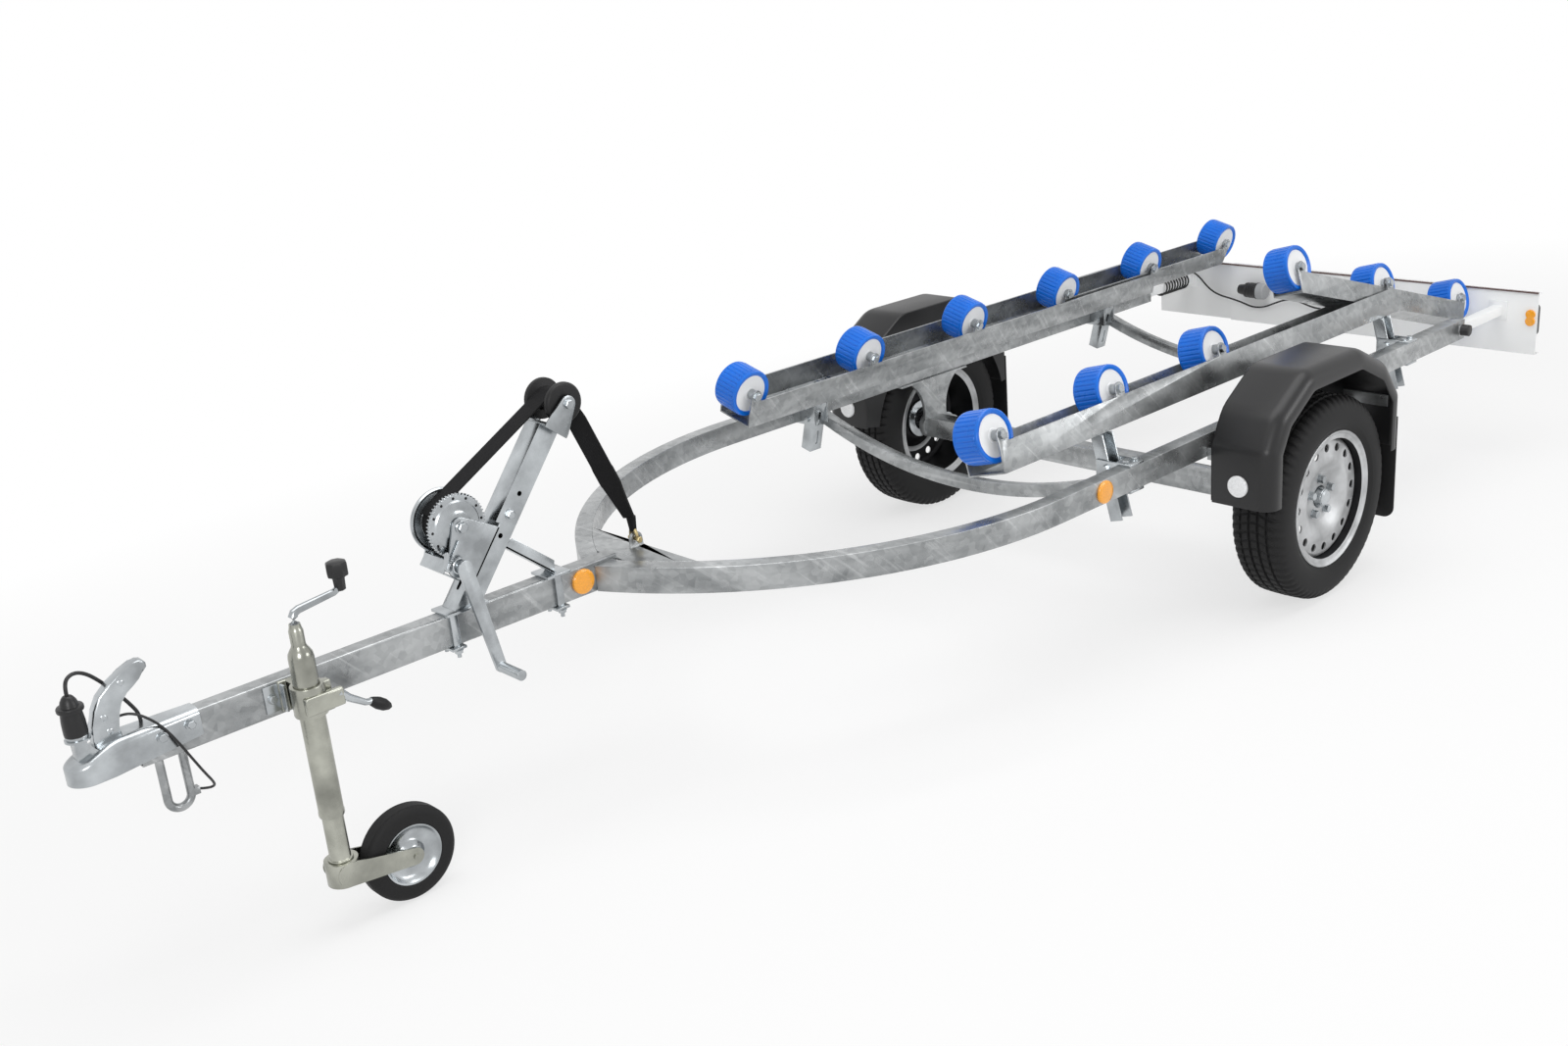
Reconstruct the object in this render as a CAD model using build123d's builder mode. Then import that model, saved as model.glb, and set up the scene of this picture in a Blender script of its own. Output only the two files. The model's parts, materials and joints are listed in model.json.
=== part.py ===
"""Single-axle trailer for one small watercraft: twelve ribbed rollers on two tilted bunks."""
import os
from math import acos, atan2, cos, degrees, hypot, pi, radians, sin, tan

from build123d import *

os.makedirs("parts", exist_ok=True)

# Overall layout. X runs forward to the coupling, Y to the left, Z up from the ground.
nose_to_axle = 2970.0
axle_to_tail = 1400.0
overall_length = nose_to_axle + axle_to_tail
nose_x = overall_length / 2
axle_x = nose_x - nose_to_axle
SIDES = (("left", 1), ("right", -1))
running_fit = 0.3
seat_gap = 0.15

# Drawbar with its safety loop
drawbar_width = 40.0
drawbar_height = 70.0
tube_wall = 3.0
tube_corner = 5.0
drawbar_bottom = 455.0
drawbar_top = drawbar_bottom + drawbar_height
drawbar_mid = drawbar_bottom + drawbar_height / 2
drawbar_front = axle_x + 2845.0
drawbar_rear = axle_x + 1770.0
loop_x = axle_x + 2789.0
loop_half = 22.0
loop_bottom = 337.0
loop_bar = 8.0
clip_size = 14.0

# Side rails and the plate in their fork
rail_width = 40.0
rail_height = 60.0
rail_y = 570.0
rail_bottom = drawbar_bottom
rail_top = rail_bottom + rail_height
rail_mid = rail_bottom + rail_height / 2
rail_inner = rail_y - rail_width / 2
rail_outer = rail_y + rail_width / 2
rail_rear = axle_x - 1020.0
rail_bend_radius = 980.0
rail_join = 39.0
gusset_length = 90.0
gusset_plate = 6.0
eye_back = 72.0
eye_bore = 9.0
eye_plate = 8.0

# Road wheels and axle
wheel_y = 682.0
tyre_radius = 273.5
tyre_half_width = 77.5
rim_flange_radius = 182.0
rim_half_width = 66.0
rim_sheet = 3.5
bead_gap = 3.0
bead_shoulder = 8.0
vent_count = 16
vent_circle = 124.0
vent_radius = 11.0
wheel_z = tyre_radius
stub_radius = 17.0
stub_fit = 0.5
hub_drum = 36.0
hub_flange = 60.0
axle_tube = 60.0
axle_wall = 5.0
axle_ahead = 95.0
axle_z = 297.0
arm_plate = 20.0
arm_gap = 20.0
axle_half = wheel_y - tyre_half_width - arm_gap - arm_plate
hanger_length = 300.0
hanger_width = 50.0
hanger_plate = 6.0

# Mudguards
guard_inner_y = 606.0
guard_outer_y = 775.0
guard_sheet = 4.0
guard_front = axle_x + 345.0
guard_rear = axle_x - 312.0
guard_foot = 338.0
guard_crown = 658.0
guard_crease = 90.0
guard_shoulder = 38.0
guard_lip = 52.0
stay_bar = 6.0
stay_height = 32.0
stay_z = 463.0
flap_sheet = 5.0
flap_bottom = 128.0
flap_top = 420.0
flap_half = 80.0
flap_corner = 30.0

# Bunks and rollers, in a frame that leans inward by bunk_tilt
bunk_tilt = 15.0
bunk_y = 415.0
bunk_z = 649.0
roller_pitch = 450.0
first_roller = axle_x + 992.0
roller_radius = 64.0
roller_half = 39.0
roller_ribs = 36
pin_radius = 8.0
pin_head = 6.0
bunk_inner_half = 54.0
bunk_sheet = 4.0
bunk_floor = -84.0
bunk_wall_top = -17.0
ear_radius = 17.0
floor_stop = 5.0
rocker_inner_half = 44.0
rocker_sheet = 3.0
rocker_floor = -70.0
rocker_wall_top = -12.0
rocker_pitch = {"left": 17.0, "right": 0.0}
post_stations = (axle_x + 640.0, axle_x - 730.0)
post_width = 44.0
post_depth = 36.0
post_sheet = 4.0
post_shift = 52.0
post_length = 215.0
cheek = 6.0
clamp_reach = 60.0
bow_width = 30.0
bow_depth = 33.0
bow_drop = 116.0
bow_end_top = 486.0

# Coupling
ball_radius = 25.0
ball_x = nose_x - 37.0
ball_z = 484.0
head_rear = axle_x + 2730.0
head_top = drawbar_top + 5.0
head_bottom = 478.0
cup_bottom = 466.0
cup_radius = 37.0
head_wall = 5.0
head_edge = 15.0
dock_x = axle_x + 2936.0
dock_top = 547.0
dock_plate = 4.0
lever_half = 13.0
lever_sheet = 3.0
plug_radius = 22.0
plug_top = 628.0
plug_ring = 602.0
plug_cable_diameter = 7.0
safety_cable_diameter = 5.0

# Jockey leg
jockey_x = axle_x + 2545.0
jockey_y = 78.0
jockey_tube_radius = 24.0
jockey_leg_radius = 20.5
jockey_tube_bottom = 247.0
jockey_shoulder = 588.0
jockey_neck_top = 645.0
jockey_neck = 15.0
jockey_leg_bottom = 96.0
jockey_leg_top = 485.0
jockey_trail = 140.0
jockey_wheel_radius = 100.0
jockey_wheel_half = 24.0
jockey_axle = 6.0
jockey_clamp_bottom = 462.0
jockey_clamp_height = 61.0
clamp_wall = 8.0
clamp_plate = 64.0
rod_radius = 6.0
rod_reach = 150.0
rod_drop = 72.0
crank_throw = 101.0
knob_bottom = 683.0
knob_height = 62.0
fork_gap = 5.0
fork_plate = 4.0
fork_sleeve = 50.0

# Winch post, leaning rearward: u runs up the post, n is square to it and faces forward
post_foot_x = axle_x + 2157.0
post_lean = 38.5
post_tube = 50.0
drum_u = 145.0
drum_n = 112.0
gear_module = 2.4
gear_teeth = 54
pinion_teeth = 12
mesh_turn = 26.0
tooth_rise = 1.4
tooth_root = 2.4
tooth_foot = 0.29
tooth_tip = 0.12
gear_width = 8.0
drum_half = 26.0
coil_radius = 45.0
drum_flange = 66.0
winch_pin = 8.0
frame_half = 41.0
frame_plate = 5.0
crank_length = 237.0
crank_swing = 11.5
crank_plate = 8.0
crank_y = 64.0
grip_length = 108.0
bow_u = 467.0
bow_n = 2.0
bow_ear_half = 50.0
bow_ear_plate = 5.0
bow_disc = 44.0
bow_clear = 10.0
bow_fit = 1.0
post_end = bow_u - bow_disc - bow_clear - bow_ear_plate
waist_radius = 24.0
waist_half = 27.0
bow_pin = 6.0
strap_half = 25.0
strap_sheet = 3.0
strap_gap = 1.0
strap_taper = 110.0
brace_x = axle_x + 1930.0
brace_bar = 30.0
brace_u = 150.0
frame_base = 180.0
shackle_half = 18.0
shackle_bar = 7.0
shackle_length = 46.0

# Light board
board_x = axle_x - 1330.0
board_half = 695.0
board_bottom = 350.0
board_top = 550.0
board_mid = (board_bottom + board_top) / 2
board_sheet = 3.0
board_lip = 28.0
seam_y = 397.0
seam_lap = 20.0
arm_size = 30.0
arm_wall = 2.5
arm_length = 620.0
arm_z = rail_mid
guide_length = 40.0
lamp_y = 560.0
lamp_width = 230.0
lamp_height = 100.0
lamp_corner = 14.0
reflector_radius = 28.0
reflector_depth = 6.0
drawbar_reflector = drawbar_rear + rail_join + 2 * reflector_radius
rail_reflector = axle_x + 770.0
lobe_radius = 15.0
lobe_pitch = 22.0
lobe_inset = 21.0
lobe_z = 470.0
cord_sides = 8
light_cable_diameter = 6.0
coil_outer = 31.0
coil_inner = 23.0
coil_length = 160.0
socket_radius = 29.0
socket_length = 104.0
socket_y = -344.0


def save(solid, name):
    """Label one piece and write its STEP file."""
    solid.label = name
    export_step(solid, "parts/" + name + ".step")


def upright(side, y):
    """Upright plane beside the centre line: local x is world X, local y is world Z."""
    return Plane(origin=(0, side * y, 0), x_dir=(1, 0, 0), z_dir=(0, -1, 0))


def bunk_plane(side, x, pitch=0.0, lateral=0.0):
    """Plane of a bunk: local x forward, local y up the lean, local z towards the right."""
    lean = radians(bunk_tilt)
    up = Vector(0, -side * sin(lean), cos(lean))
    out = Vector(0, side * cos(lean), sin(lean))
    along = Vector(1, 0, 0) * cos(radians(pitch)) + up * sin(radians(pitch))
    spot = Vector(x, side * bunk_y, bunk_z) + out * lateral
    return Plane(origin=spot, x_dir=along, z_dir=Vector(0, -cos(lean), -side * sin(lean)))


def wheel_plane(side, x, y, z):
    """Half-section plane of a wheel: local x points outward, local y up."""
    return Plane(origin=(x, y, z), x_dir=(0, side, 0), z_dir=(side, 0, 0))


def on_post(u, n):
    """Point of the winch post's own u-n frame as world X and Z."""
    lean = radians(post_lean)
    x = post_foot_x - u * sin(lean) + n * cos(lean)
    return x, drawbar_top + u * cos(lean) + n * sin(lean)


def polar(x, z, radius, angle):
    """Point at an angle on a circle."""
    return x + radius * cos(angle), z + radius * sin(angle)


def tooth_points(x, y, pitch_radius, count, first_angle):
    """Outline of a straight-flanked gear, four points a tooth."""
    points = []
    step = 2 * pi / count
    for k in range(count):
        for share, rise in ((-tooth_foot, -tooth_root), (-tooth_tip, tooth_rise),
                            (tooth_tip, tooth_rise), (tooth_foot, -tooth_root)):
            points.append(polar(x, y, pitch_radius + rise, first_angle + (k + share) * step))
    return points


side_plane = upright(1, 0)

# Drawbar tube with the U-shaped safety loop welded under its front end
loop_turn = loop_bottom + loop_bar + loop_half
with BuildPart() as drawbar:
    with BuildSketch(Plane.YZ.offset(drawbar_rear)):
        with Locations((0, drawbar_mid)):
            RectangleRounded(drawbar_width, drawbar_height, tube_corner)
            Rectangle(drawbar_width - 2 * tube_wall, drawbar_height - 2 * tube_wall, mode=Mode.SUBTRACT)
    extrude(amount=drawbar_front - drawbar_rear)
    with BuildLine(side_plane):
        front_leg = Line((loop_x + loop_half, drawbar_bottom + 1), (loop_x + loop_half, loop_turn))
        turn = JernArc(front_leg @ 1, front_leg % 1, loop_half, -180)
        Line(turn @ 1, (loop_x - loop_half, drawbar_bottom + 1))
    with BuildSketch(Plane(origin=(loop_x + loop_half, 0, drawbar_bottom + 1), z_dir=(0, 0, -1))):
        Circle(loop_bar)
    sweep()
    with Locations((loop_x - loop_half - loop_bar, 0, loop_turn)):
        Box(clip_size, clip_size, clip_size)
save(drawbar.part, "drawbar")

# Side rails: straight past the wheel, then one wide bend in to the drawbar
bend_drop = rail_y - drawbar_width / 2
join_angle = acos(1 - bend_drop / rail_bend_radius)
rail_bend_start = drawbar_rear + rail_join - rail_bend_radius * sin(join_angle)
bend_centre_y = rail_y - rail_bend_radius
run_in = degrees(acos((rail_bend_radius - bend_drop) / (rail_bend_radius + rail_width / 2))) + 1
with BuildPart() as side_rails:
    for name, side in SIDES:
        with BuildLine(Plane.XY.offset(rail_mid)):
            straight = Line((rail_rear, side * rail_y), (rail_bend_start, side * rail_y))
            JernArc(straight @ 1, straight % 1, rail_bend_radius, -side * run_in)
        with BuildSketch(Plane.YZ.offset(rail_rear)):
            with Locations((side * rail_y, rail_mid)):
                Rectangle(rail_width, rail_height)
                Rectangle(rail_width - 2 * tube_wall, rail_height - 2 * tube_wall, mode=Mode.SUBTRACT)
        sweep()
    with Locations((drawbar_rear + rail_join, 0, rail_mid)):
        Box(8 * rail_join, drawbar_width, 2 * rail_height, mode=Mode.SUBTRACT)
save(side_rails.part, "side_rails")

# Gusset plate in the fork of the rails, with the strap eye standing on it
inner_bend = rail_bend_radius - rail_width / 2 - seat_gap
eye_x = drawbar_rear - eye_back
eye_z = rail_top + 2 * eye_bore
with BuildPart() as gusset:
    with BuildSketch(Plane.XY.offset(rail_top - gusset_plate)):
        with Locations((rail_bend_start, bend_centre_y)):
            Circle(inner_bend)
        with Locations((rail_bend_start, -bend_centre_y)):
            Circle(inner_bend, mode=Mode.INTERSECT)
        with Locations((drawbar_rear - gusset_length / 2, 0)):
            Rectangle(gusset_length, 2 * rail_y, mode=Mode.INTERSECT)
    extrude(amount=gusset_plate)
    with BuildSketch(side_plane):
        with Locations((eye_x, eye_z)):
            Circle(1.8 * eye_bore)
        with Locations((eye_x, rail_top - gusset_plate / 2)):
            Rectangle(4 * eye_bore, gusset_plate / 2)
        make_hull()
        with Locations((eye_x, eye_z)):
            Circle(eye_bore, mode=Mode.SUBTRACT)
    extrude(amount=eye_plate / 2, both=True)
save(gusset.part, "gusset")

# Two bowed cross members between the rails, behind the bunk posts
bow_end_low = bow_end_top - bow_depth
with BuildPart() as cross_members:
    for station in post_stations:
        rear_face = station - post_width / 2 - cheek - bow_width
        with BuildSketch(Plane.YZ.offset(rear_face)):
            with BuildLine():
                ThreePointArc((-rail_inner, bow_end_top), (0, bow_end_top - bow_drop),
                              (rail_inner, bow_end_top))
                Line((rail_inner, bow_end_top), (rail_inner, bow_end_low))
                ThreePointArc((rail_inner, bow_end_low), (0, bow_end_low - bow_drop),
                              (-rail_inner, bow_end_low))
                Line((-rail_inner, bow_end_low), (-rail_inner, bow_end_top))
            make_face()
        extrude(amount=bow_width)
save(cross_members.part, "cross_members")

# Axle beam hung under the rails on waisted plates
beam_x = axle_x + axle_ahead
beam_top = axle_z + axle_tube / 2
hanger_top = rail_bottom - hanger_plate
hanger_y = axle_half - 2 * hanger_plate
hanger_shape = ((0.35, hanger_top), (0.2, (hanger_top + beam_top) / 2 + 12), (0.16, beam_top - 1))
with BuildPart() as axle_beam:
    with BuildSketch(Plane.XZ):
        with Locations((beam_x, axle_z)):
            Rectangle(axle_tube, axle_tube)
            Rectangle(axle_tube - 2 * axle_wall, axle_tube - 2 * axle_wall, mode=Mode.SUBTRACT)
    extrude(amount=axle_half, both=True)
    for name, side in SIDES:
        with Locations((beam_x, side * rail_y, rail_bottom - hanger_plate / 2)):
            Box(hanger_length, hanger_width, hanger_plate)
        with BuildSketch(upright(side, hanger_y)):
            with BuildLine():
                fore = [(beam_x + share * hanger_length, z) for share, z in hanger_shape]
                aft = [(beam_x - share * hanger_length, z) for share, z in hanger_shape]
                ThreePointArc(*fore)
                Line(fore[2], aft[2])
                ThreePointArc(*reversed(aft))
                Line(aft[0], fore[0])
            make_face()
        extrude(amount=hanger_plate, both=True)
save(axle_beam.part, "axle_beam")

# Trailing arms with the stubs that carry the wheels
arm_outer = axle_half + arm_plate
stub_end = 10.0
with BuildPart() as trailing_arms:
    for name, side in SIDES:
        with BuildSketch(upright(side, axle_half)):
            with Locations((beam_x, axle_z)):
                Circle(axle_tube * 0.66)
            with Locations((axle_x, wheel_z)):
                Circle(stub_radius * 1.8)
            make_hull()
        extrude(amount=-side * arm_plate)
        with BuildSketch(upright(side, arm_outer)):
            with Locations((axle_x, wheel_z)):
                Circle(stub_radius)
        extrude(amount=-side * (wheel_y + stub_end - arm_outer))
save(trailing_arms.part, "trailing_arms")

# Road wheels: hub, rim and tyre for each side, drawn as half sections about the wheel's middle plane
hub_back = -tyre_half_width - arm_gap + 5
hub_face = 26.0
flange_back = hub_face - 12.0
cap_face = hub_face + 20.0
bead_seat = rim_flange_radius - 17
disc_root = 12.0
disc_sheet = 4.0
vent_face = 20.0
for name, side in SIDES:
    section = wheel_plane(side, axle_x, side * wheel_y, wheel_z)
    spin = Axis((axle_x, side * wheel_y, wheel_z), (0, 1, 0))
    bore = stub_radius + stub_fit
    with BuildPart() as hub:
        with BuildSketch(section):
            with BuildLine():
                Polyline((hub_back, bore), (hub_back, hub_drum), (flange_back, hub_drum),
                         (flange_back, hub_flange), (hub_face, hub_flange), (hub_face, 0.75 * hub_drum),
                         (cap_face, 0.65 * hub_drum), (cap_face, 0), (stub_end + 1, 0),
                         (stub_end + 1, bore), close=True)
            make_face()
        revolve(axis=spin)
    save(hub.part, "hub_" + name)

    flange = rim_half_width
    seat_end = rim_half_width - 6
    shoulder = bead_seat + bead_shoulder
    inner = bead_seat - rim_sheet
    with BuildPart() as rim:
        with BuildSketch(section):
            with BuildLine():
                lip = ((seat_end, bead_seat), (seat_end, shoulder), (flange, rim_flange_radius),
                       (flange + rim_sheet, rim_flange_radius - 1), (seat_end + rim_sheet, shoulder - 2),
                       (seat_end + rim_sheet, inner))
                Polyline(*lip, *[(-x, y) for x, y in reversed(lip)], close=True)
            make_face()
            with BuildLine():
                face = ((disc_root, inner + 1), (vent_face, vent_circle + 18), (vent_face, vent_circle - 18),
                        (hub_face + 9, 1.4 * hub_flange), (hub_face, 1.15 * hub_flange),
                        (hub_face, 0.85 * hub_drum))
                Polyline(*face, *[(x + disc_sheet, y) for x, y in reversed(face)], close=True)
            make_face()
        revolve(axis=spin)
        wheel_centre = (axle_x, side * wheel_y, wheel_z)
        with BuildSketch(Plane(origin=wheel_centre, x_dir=(1, 0, 0), z_dir=(0, side, 0))):
            with PolarLocations(vent_circle, vent_count):
                RegularPolygon(vent_radius, 8)
        extrude(amount=rim_half_width, mode=Mode.SUBTRACT)
    save(rim.part, "rim_" + name)

    with BuildPart() as tyre:
        with BuildSketch(section):
            with BuildLine():
                wall = ((seat_end, bead_seat + bead_gap), (seat_end, shoulder),
                        (flange, rim_flange_radius + bead_gap), (tyre_half_width, 0.8 * tyre_radius),
                        (0.94 * tyre_half_width, 0.93 * tyre_radius), (0.72 * tyre_half_width, tyre_radius))
                Polyline(*wall, *[(-x, y) for x, y in reversed(wall)], close=True)
            make_face()
        revolve(axis=spin)
    save(tyre.part, "tyre_" + name)

# Mudguards: moulded arches with softly creased tops, a rounded outer shoulder and a lip round the wheel
guard_knee = guard_crease / 2
guard_arch = ((guard_front, guard_foot), (guard_front, guard_crown - 168),
              (guard_front - 48, guard_crown - 81), (guard_front - 180, guard_crown),
              (guard_rear + 212, guard_crown), (guard_rear + 77, guard_crown - 66),
              (guard_rear, guard_crown - 163), (guard_rear, guard_foot))
guard_turns = (guard_knee, guard_crease, guard_crease, guard_crease, guard_crease, guard_knee)
guard_width = guard_outer_y - guard_inner_y
with BuildPart() as mudguards:
    with BuildSketch(upright(1, guard_inner_y)) as arch:
        with BuildLine():
            FilletPolyline(*guard_arch, radius=guard_turns)
            Line(guard_arch[-1], guard_arch[0])
        make_face()
    extrude(amount=-guard_width)
    outer_edges = faces().sort_by(Axis.Y)[-1].edges().sort_by(Axis.Z)
    fillet(outer_edges[1:], guard_shoulder)
    open_sides = [faces().sort_by(Axis.Y)[0], faces().sort_by(Axis.Z)[0]]
    offset(amount=-guard_sheet, openings=open_sides)
    with BuildSketch(upright(1, guard_outer_y - guard_shoulder)):
        with BuildLine():
            FilletPolyline(*guard_arch, radius=guard_turns)
            Line(guard_arch[-1], guard_arch[0])
        make_face()
        offset(amount=-guard_lip, mode=Mode.REPLACE)
        with Locations(((guard_front + guard_rear) / 2, guard_foot + guard_lip)):
            Rectangle(guard_front - guard_rear - 2 * guard_lip, 2 * guard_lip + 2)
    extrude(amount=-guard_shoulder - 1, mode=Mode.SUBTRACT)
    mirror(about=Plane.XZ)
save(mudguards.part, "mudguards")

# Flat stays that carry the guards, and the rubber flaps behind the wheels
stay_reach = guard_outer_y - guard_shoulder - rail_outer
with BuildPart() as guard_stays:
    for name, side in SIDES:
        for x in (guard_front - guard_sheet - stay_bar / 2, guard_rear + guard_sheet + stay_bar / 2):
            with Locations((x, side * (rail_outer + stay_reach / 2), stay_z)):
                Box(stay_bar, stay_reach, stay_height)
save(guard_stays.part, "guard_stays")

with BuildPart() as mud_flaps:
    for name, side in SIDES:
        with BuildSketch(Plane.YZ.offset(guard_rear - flap_sheet)):
            with Locations((side * wheel_y, (flap_top + flap_bottom) / 2)):
                flap = Rectangle(2 * flap_half, flap_top - flap_bottom)
            fillet(flap.vertices().sort_by(Axis.Y)[:2], flap_corner)
        extrude(amount=flap_sheet)
save(mud_flaps.part, "mud_flaps")

# Bunk channels with an ear round each roller pin; the floor stops at the rocker pivot
pivot_x = first_roller - 4 * roller_pitch
bunk_under = bunk_floor - bunk_sheet
with BuildPart() as bunk_channels:
    for name, side in SIDES:
        base = bunk_plane(side, pivot_x)
        length = 4 * roller_pitch
        for wall in (-1, 1):
            with BuildSketch(base.offset(wall * bunk_inner_half)):
                with Locations((length / 2, (bunk_wall_top + bunk_under) / 2)):
                    Rectangle(length + 2 * ear_radius, bunk_wall_top - bunk_under)
                for k in (0, 2, 3, 4):
                    with Locations((k * roller_pitch, 0)):
                        Circle(ear_radius)
                    with Locations((k * roller_pitch, bunk_wall_top / 2)):
                        Rectangle(2 * ear_radius, -bunk_wall_top)
                for k, fit in ((0, running_fit), (2, seat_gap), (3, seat_gap), (4, seat_gap)):
                    with Locations((k * roller_pitch, 0)):
                        Circle(pin_radius + fit, mode=Mode.SUBTRACT)
            extrude(amount=wall * bunk_sheet)
        floor_plane = Plane(origin=base.origin + base.y_dir * bunk_under, x_dir=base.x_dir, z_dir=base.y_dir)
        with BuildSketch(floor_plane):
            with Locations(((length + ear_radius + floor_stop) / 2, 0)):
                Rectangle(length + ear_radius - floor_stop, 2 * bunk_inner_half)
        extrude(amount=bunk_sheet)
save(bunk_channels.part, "bunk_channels")

# Pins of the three fixed rollers
pin_reach = bunk_inner_half + bunk_sheet + pin_head
with BuildPart() as roller_pins:
    for name, side in SIDES:
        for k in range(3):
            with BuildSketch(bunk_plane(side, first_roller - k * roller_pitch)):
                Circle(pin_radius)
            extrude(amount=pin_reach, both=True)
save(roller_pins.part, "roller_pins")

# Rockers: a narrow channel with three rollers; its middle pin seesaws in the bunk's last ears
rocker_under = rocker_floor - rocker_sheet
for name, side in SIDES:
    base = bunk_plane(side, pivot_x, rocker_pitch[name])
    half = roller_pitch + ear_radius
    with BuildPart() as rocker:
        for wall in (-1, 1):
            with BuildSketch(base.offset(wall * rocker_inner_half)):
                with BuildLine():
                    Polyline((-half, rocker_wall_top), (-half + ear_radius, rocker_under),
                             (half - ear_radius, rocker_under), (half, rocker_wall_top), close=True)
                make_face()
                for k in (-1, 0, 1):
                    with Locations((k * roller_pitch, 0)):
                        Circle(ear_radius)
                    with Locations((k * roller_pitch, rocker_wall_top / 2)):
                        Rectangle(2 * ear_radius, -rocker_wall_top)
            extrude(amount=wall * rocker_sheet)
        floor_origin = base.origin + base.y_dir * rocker_under
        floor_plane = Plane(origin=floor_origin, x_dir=base.x_dir, z_dir=base.y_dir)
        with BuildSketch(floor_plane):
            Rectangle(2 * (half - ear_radius), 2 * rocker_inner_half)
        extrude(amount=rocker_sheet)
        with BuildSketch(base):
            with Locations((-roller_pitch, 0), (roller_pitch, 0)):
                Circle(pin_radius)
        extrude(amount=rocker_inner_half + rocker_sheet, both=True)
        with BuildSketch(base):
            Circle(pin_radius)
        extrude(amount=pin_reach, both=True)
    save(rocker.part, "rocker_" + name)

# Rollers with a ribbed tread, numbered from the front; the last three ride on the rocker
for name, side in SIDES:
    for k in range(6):
        if k in (3, 5):
            base = bunk_plane(side, pivot_x, rocker_pitch[name])
            spot = ((4 - k) * roller_pitch, 0)
        else:
            base = bunk_plane(side, first_roller - k * roller_pitch)
            spot = (0, 0)
        with BuildPart() as roller:
            with BuildSketch(base):
                with Locations(spot):
                    RegularPolygon(roller_radius, roller_ribs)
                    Circle(pin_radius + running_fit, mode=Mode.SUBTRACT)
            extrude(amount=roller_half, both=True)
        save(roller.part, "roller_" + name + "_" + str(k + 1))

# Adjustable bunk posts, folded from sheet and leaning with the bunk
with BuildPart() as bunk_posts:
    for name, side in SIDES:
        for station in post_stations:
            base = bunk_plane(side, station, 0.0, post_shift)
            top = Plane(origin=base.origin + base.y_dir * bunk_under, x_dir=base.x_dir, z_dir=-base.y_dir)
            with BuildSketch(top):
                Rectangle(post_width, post_depth)
                with Locations((0, -side * post_sheet)):
                    Rectangle(post_width - 2 * post_sheet, post_depth, mode=Mode.SUBTRACT)
            extrude(amount=post_length)
save(bunk_posts.part, "bunk_posts")

# Clamps: two cheeks beside each post, with plates over and under the rail
cheek_inner = rail_inner - clamp_reach
clamp_length = post_width + 2 * cheek
with BuildPart() as post_cheeks:
    for name, side in SIDES:
        for station in post_stations:
            for end in (-1, 1):
                cheek_x = station + end * (post_width + cheek) / 2
                with Locations((cheek_x, side * (cheek_inner + rail_inner) / 2, rail_mid)):
                    Box(cheek, clamp_reach, rail_height + 2 * cheek)
            for z in (rail_top + cheek / 2, rail_bottom - cheek / 2):
                with Locations((station, side * (rail_inner + rail_outer - cheek) / 2, z)):
                    Box(clamp_length, rail_width + cheek, cheek)
save(post_cheeks.part, "post_cheeks")

# Coupling head: a pressed channel that straddles the drawbar and widens into the round ball cup
head_half = drawbar_width / 2 + head_wall
with BuildPart() as coupling_head:
    with BuildSketch(Plane.XY.offset(cup_bottom)):
        with Locations((ball_x, 0)):
            Circle(cup_radius)
        with Locations((head_rear + head_wall / 2, 0)):
            Rectangle(head_wall, 2 * head_half)
        make_hull()
    extrude(amount=head_top - cup_bottom)
    rim_edges = faces().sort_by(Axis.Z)[-1].edges().sort_by(Axis.X)
    fillet(rim_edges[1:], head_edge)
    with BuildSketch(side_plane):
        with BuildLine():
            Polyline((head_rear, cup_bottom), (head_rear, head_bottom),
                     (ball_x - cup_radius, cup_bottom), close=True)
        make_face()
    extrude(amount=cup_radius, both=True, mode=Mode.SUBTRACT)
    dock_neck = dock_top - dock_plate - head_top + 1
    with Locations((dock_x, 0, head_top - 1 + dock_neck / 2)):
        Box(plug_radius, plug_radius, dock_neck)
    with Locations((dock_x, 0, dock_top - dock_plate / 2)):
        Cylinder(plug_radius, dock_plate)
    with Locations(((head_rear + ball_x) / 2, 0, drawbar_top - drawbar_height)):
        Box(ball_x - head_rear, drawbar_width, 2 * drawbar_height, mode=Mode.SUBTRACT)
    with Locations((ball_x, 0, ball_z)):
        Sphere(ball_radius + running_fit, mode=Mode.SUBTRACT)
    with Locations((ball_x, 0, cup_bottom)):
        Cylinder(ball_radius + running_fit, 2 * (ball_z - cup_bottom), mode=Mode.SUBTRACT)
save(coupling_head.part, "coupling_head")

# Coupling lever, swept back over the drawbar
lever_front = dock_x - plug_radius
lever_foot = 51.0
lever_shape = ((0, 0), (-10, 57), (-38, 90), (-103, 122), (-118, 97), (-92, 88), (-76, 72), (-46, 43),
               (-lever_foot, 0))
with BuildPart() as coupling_lever:
    with BuildSketch(side_plane):
        with BuildLine():
            Polyline(*[(lever_front + x, head_top + z) for x, z in lever_shape], close=True)
        make_face()
        rounded = vertices().sort_by(Axis.Y)[3:]
        fillet(rounded, lever_sheet)
    extrude(amount=lever_half, both=True)
save(coupling_lever.part, "coupling_lever")

# Parked plug with a gripping ring, standing on its dock
with BuildPart() as plug:
    with BuildSketch(side_plane):
        with BuildLine():
            Polyline((dock_x, dock_top), (dock_x + plug_radius, dock_top), (dock_x + plug_radius, plug_ring),
                     (dock_x + 1.15 * plug_radius, plug_ring), (dock_x + 1.15 * plug_radius, plug_ring + 7),
                     (dock_x + 0.7 * plug_radius, plug_ring + 7), (dock_x + 0.35 * plug_radius, plug_top),
                     (dock_x, plug_top), close=True)
        make_face()
    revolve(axis=Axis((dock_x, 0, 0), (0, 0, 1)))
save(plug.part, "plug")

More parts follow.
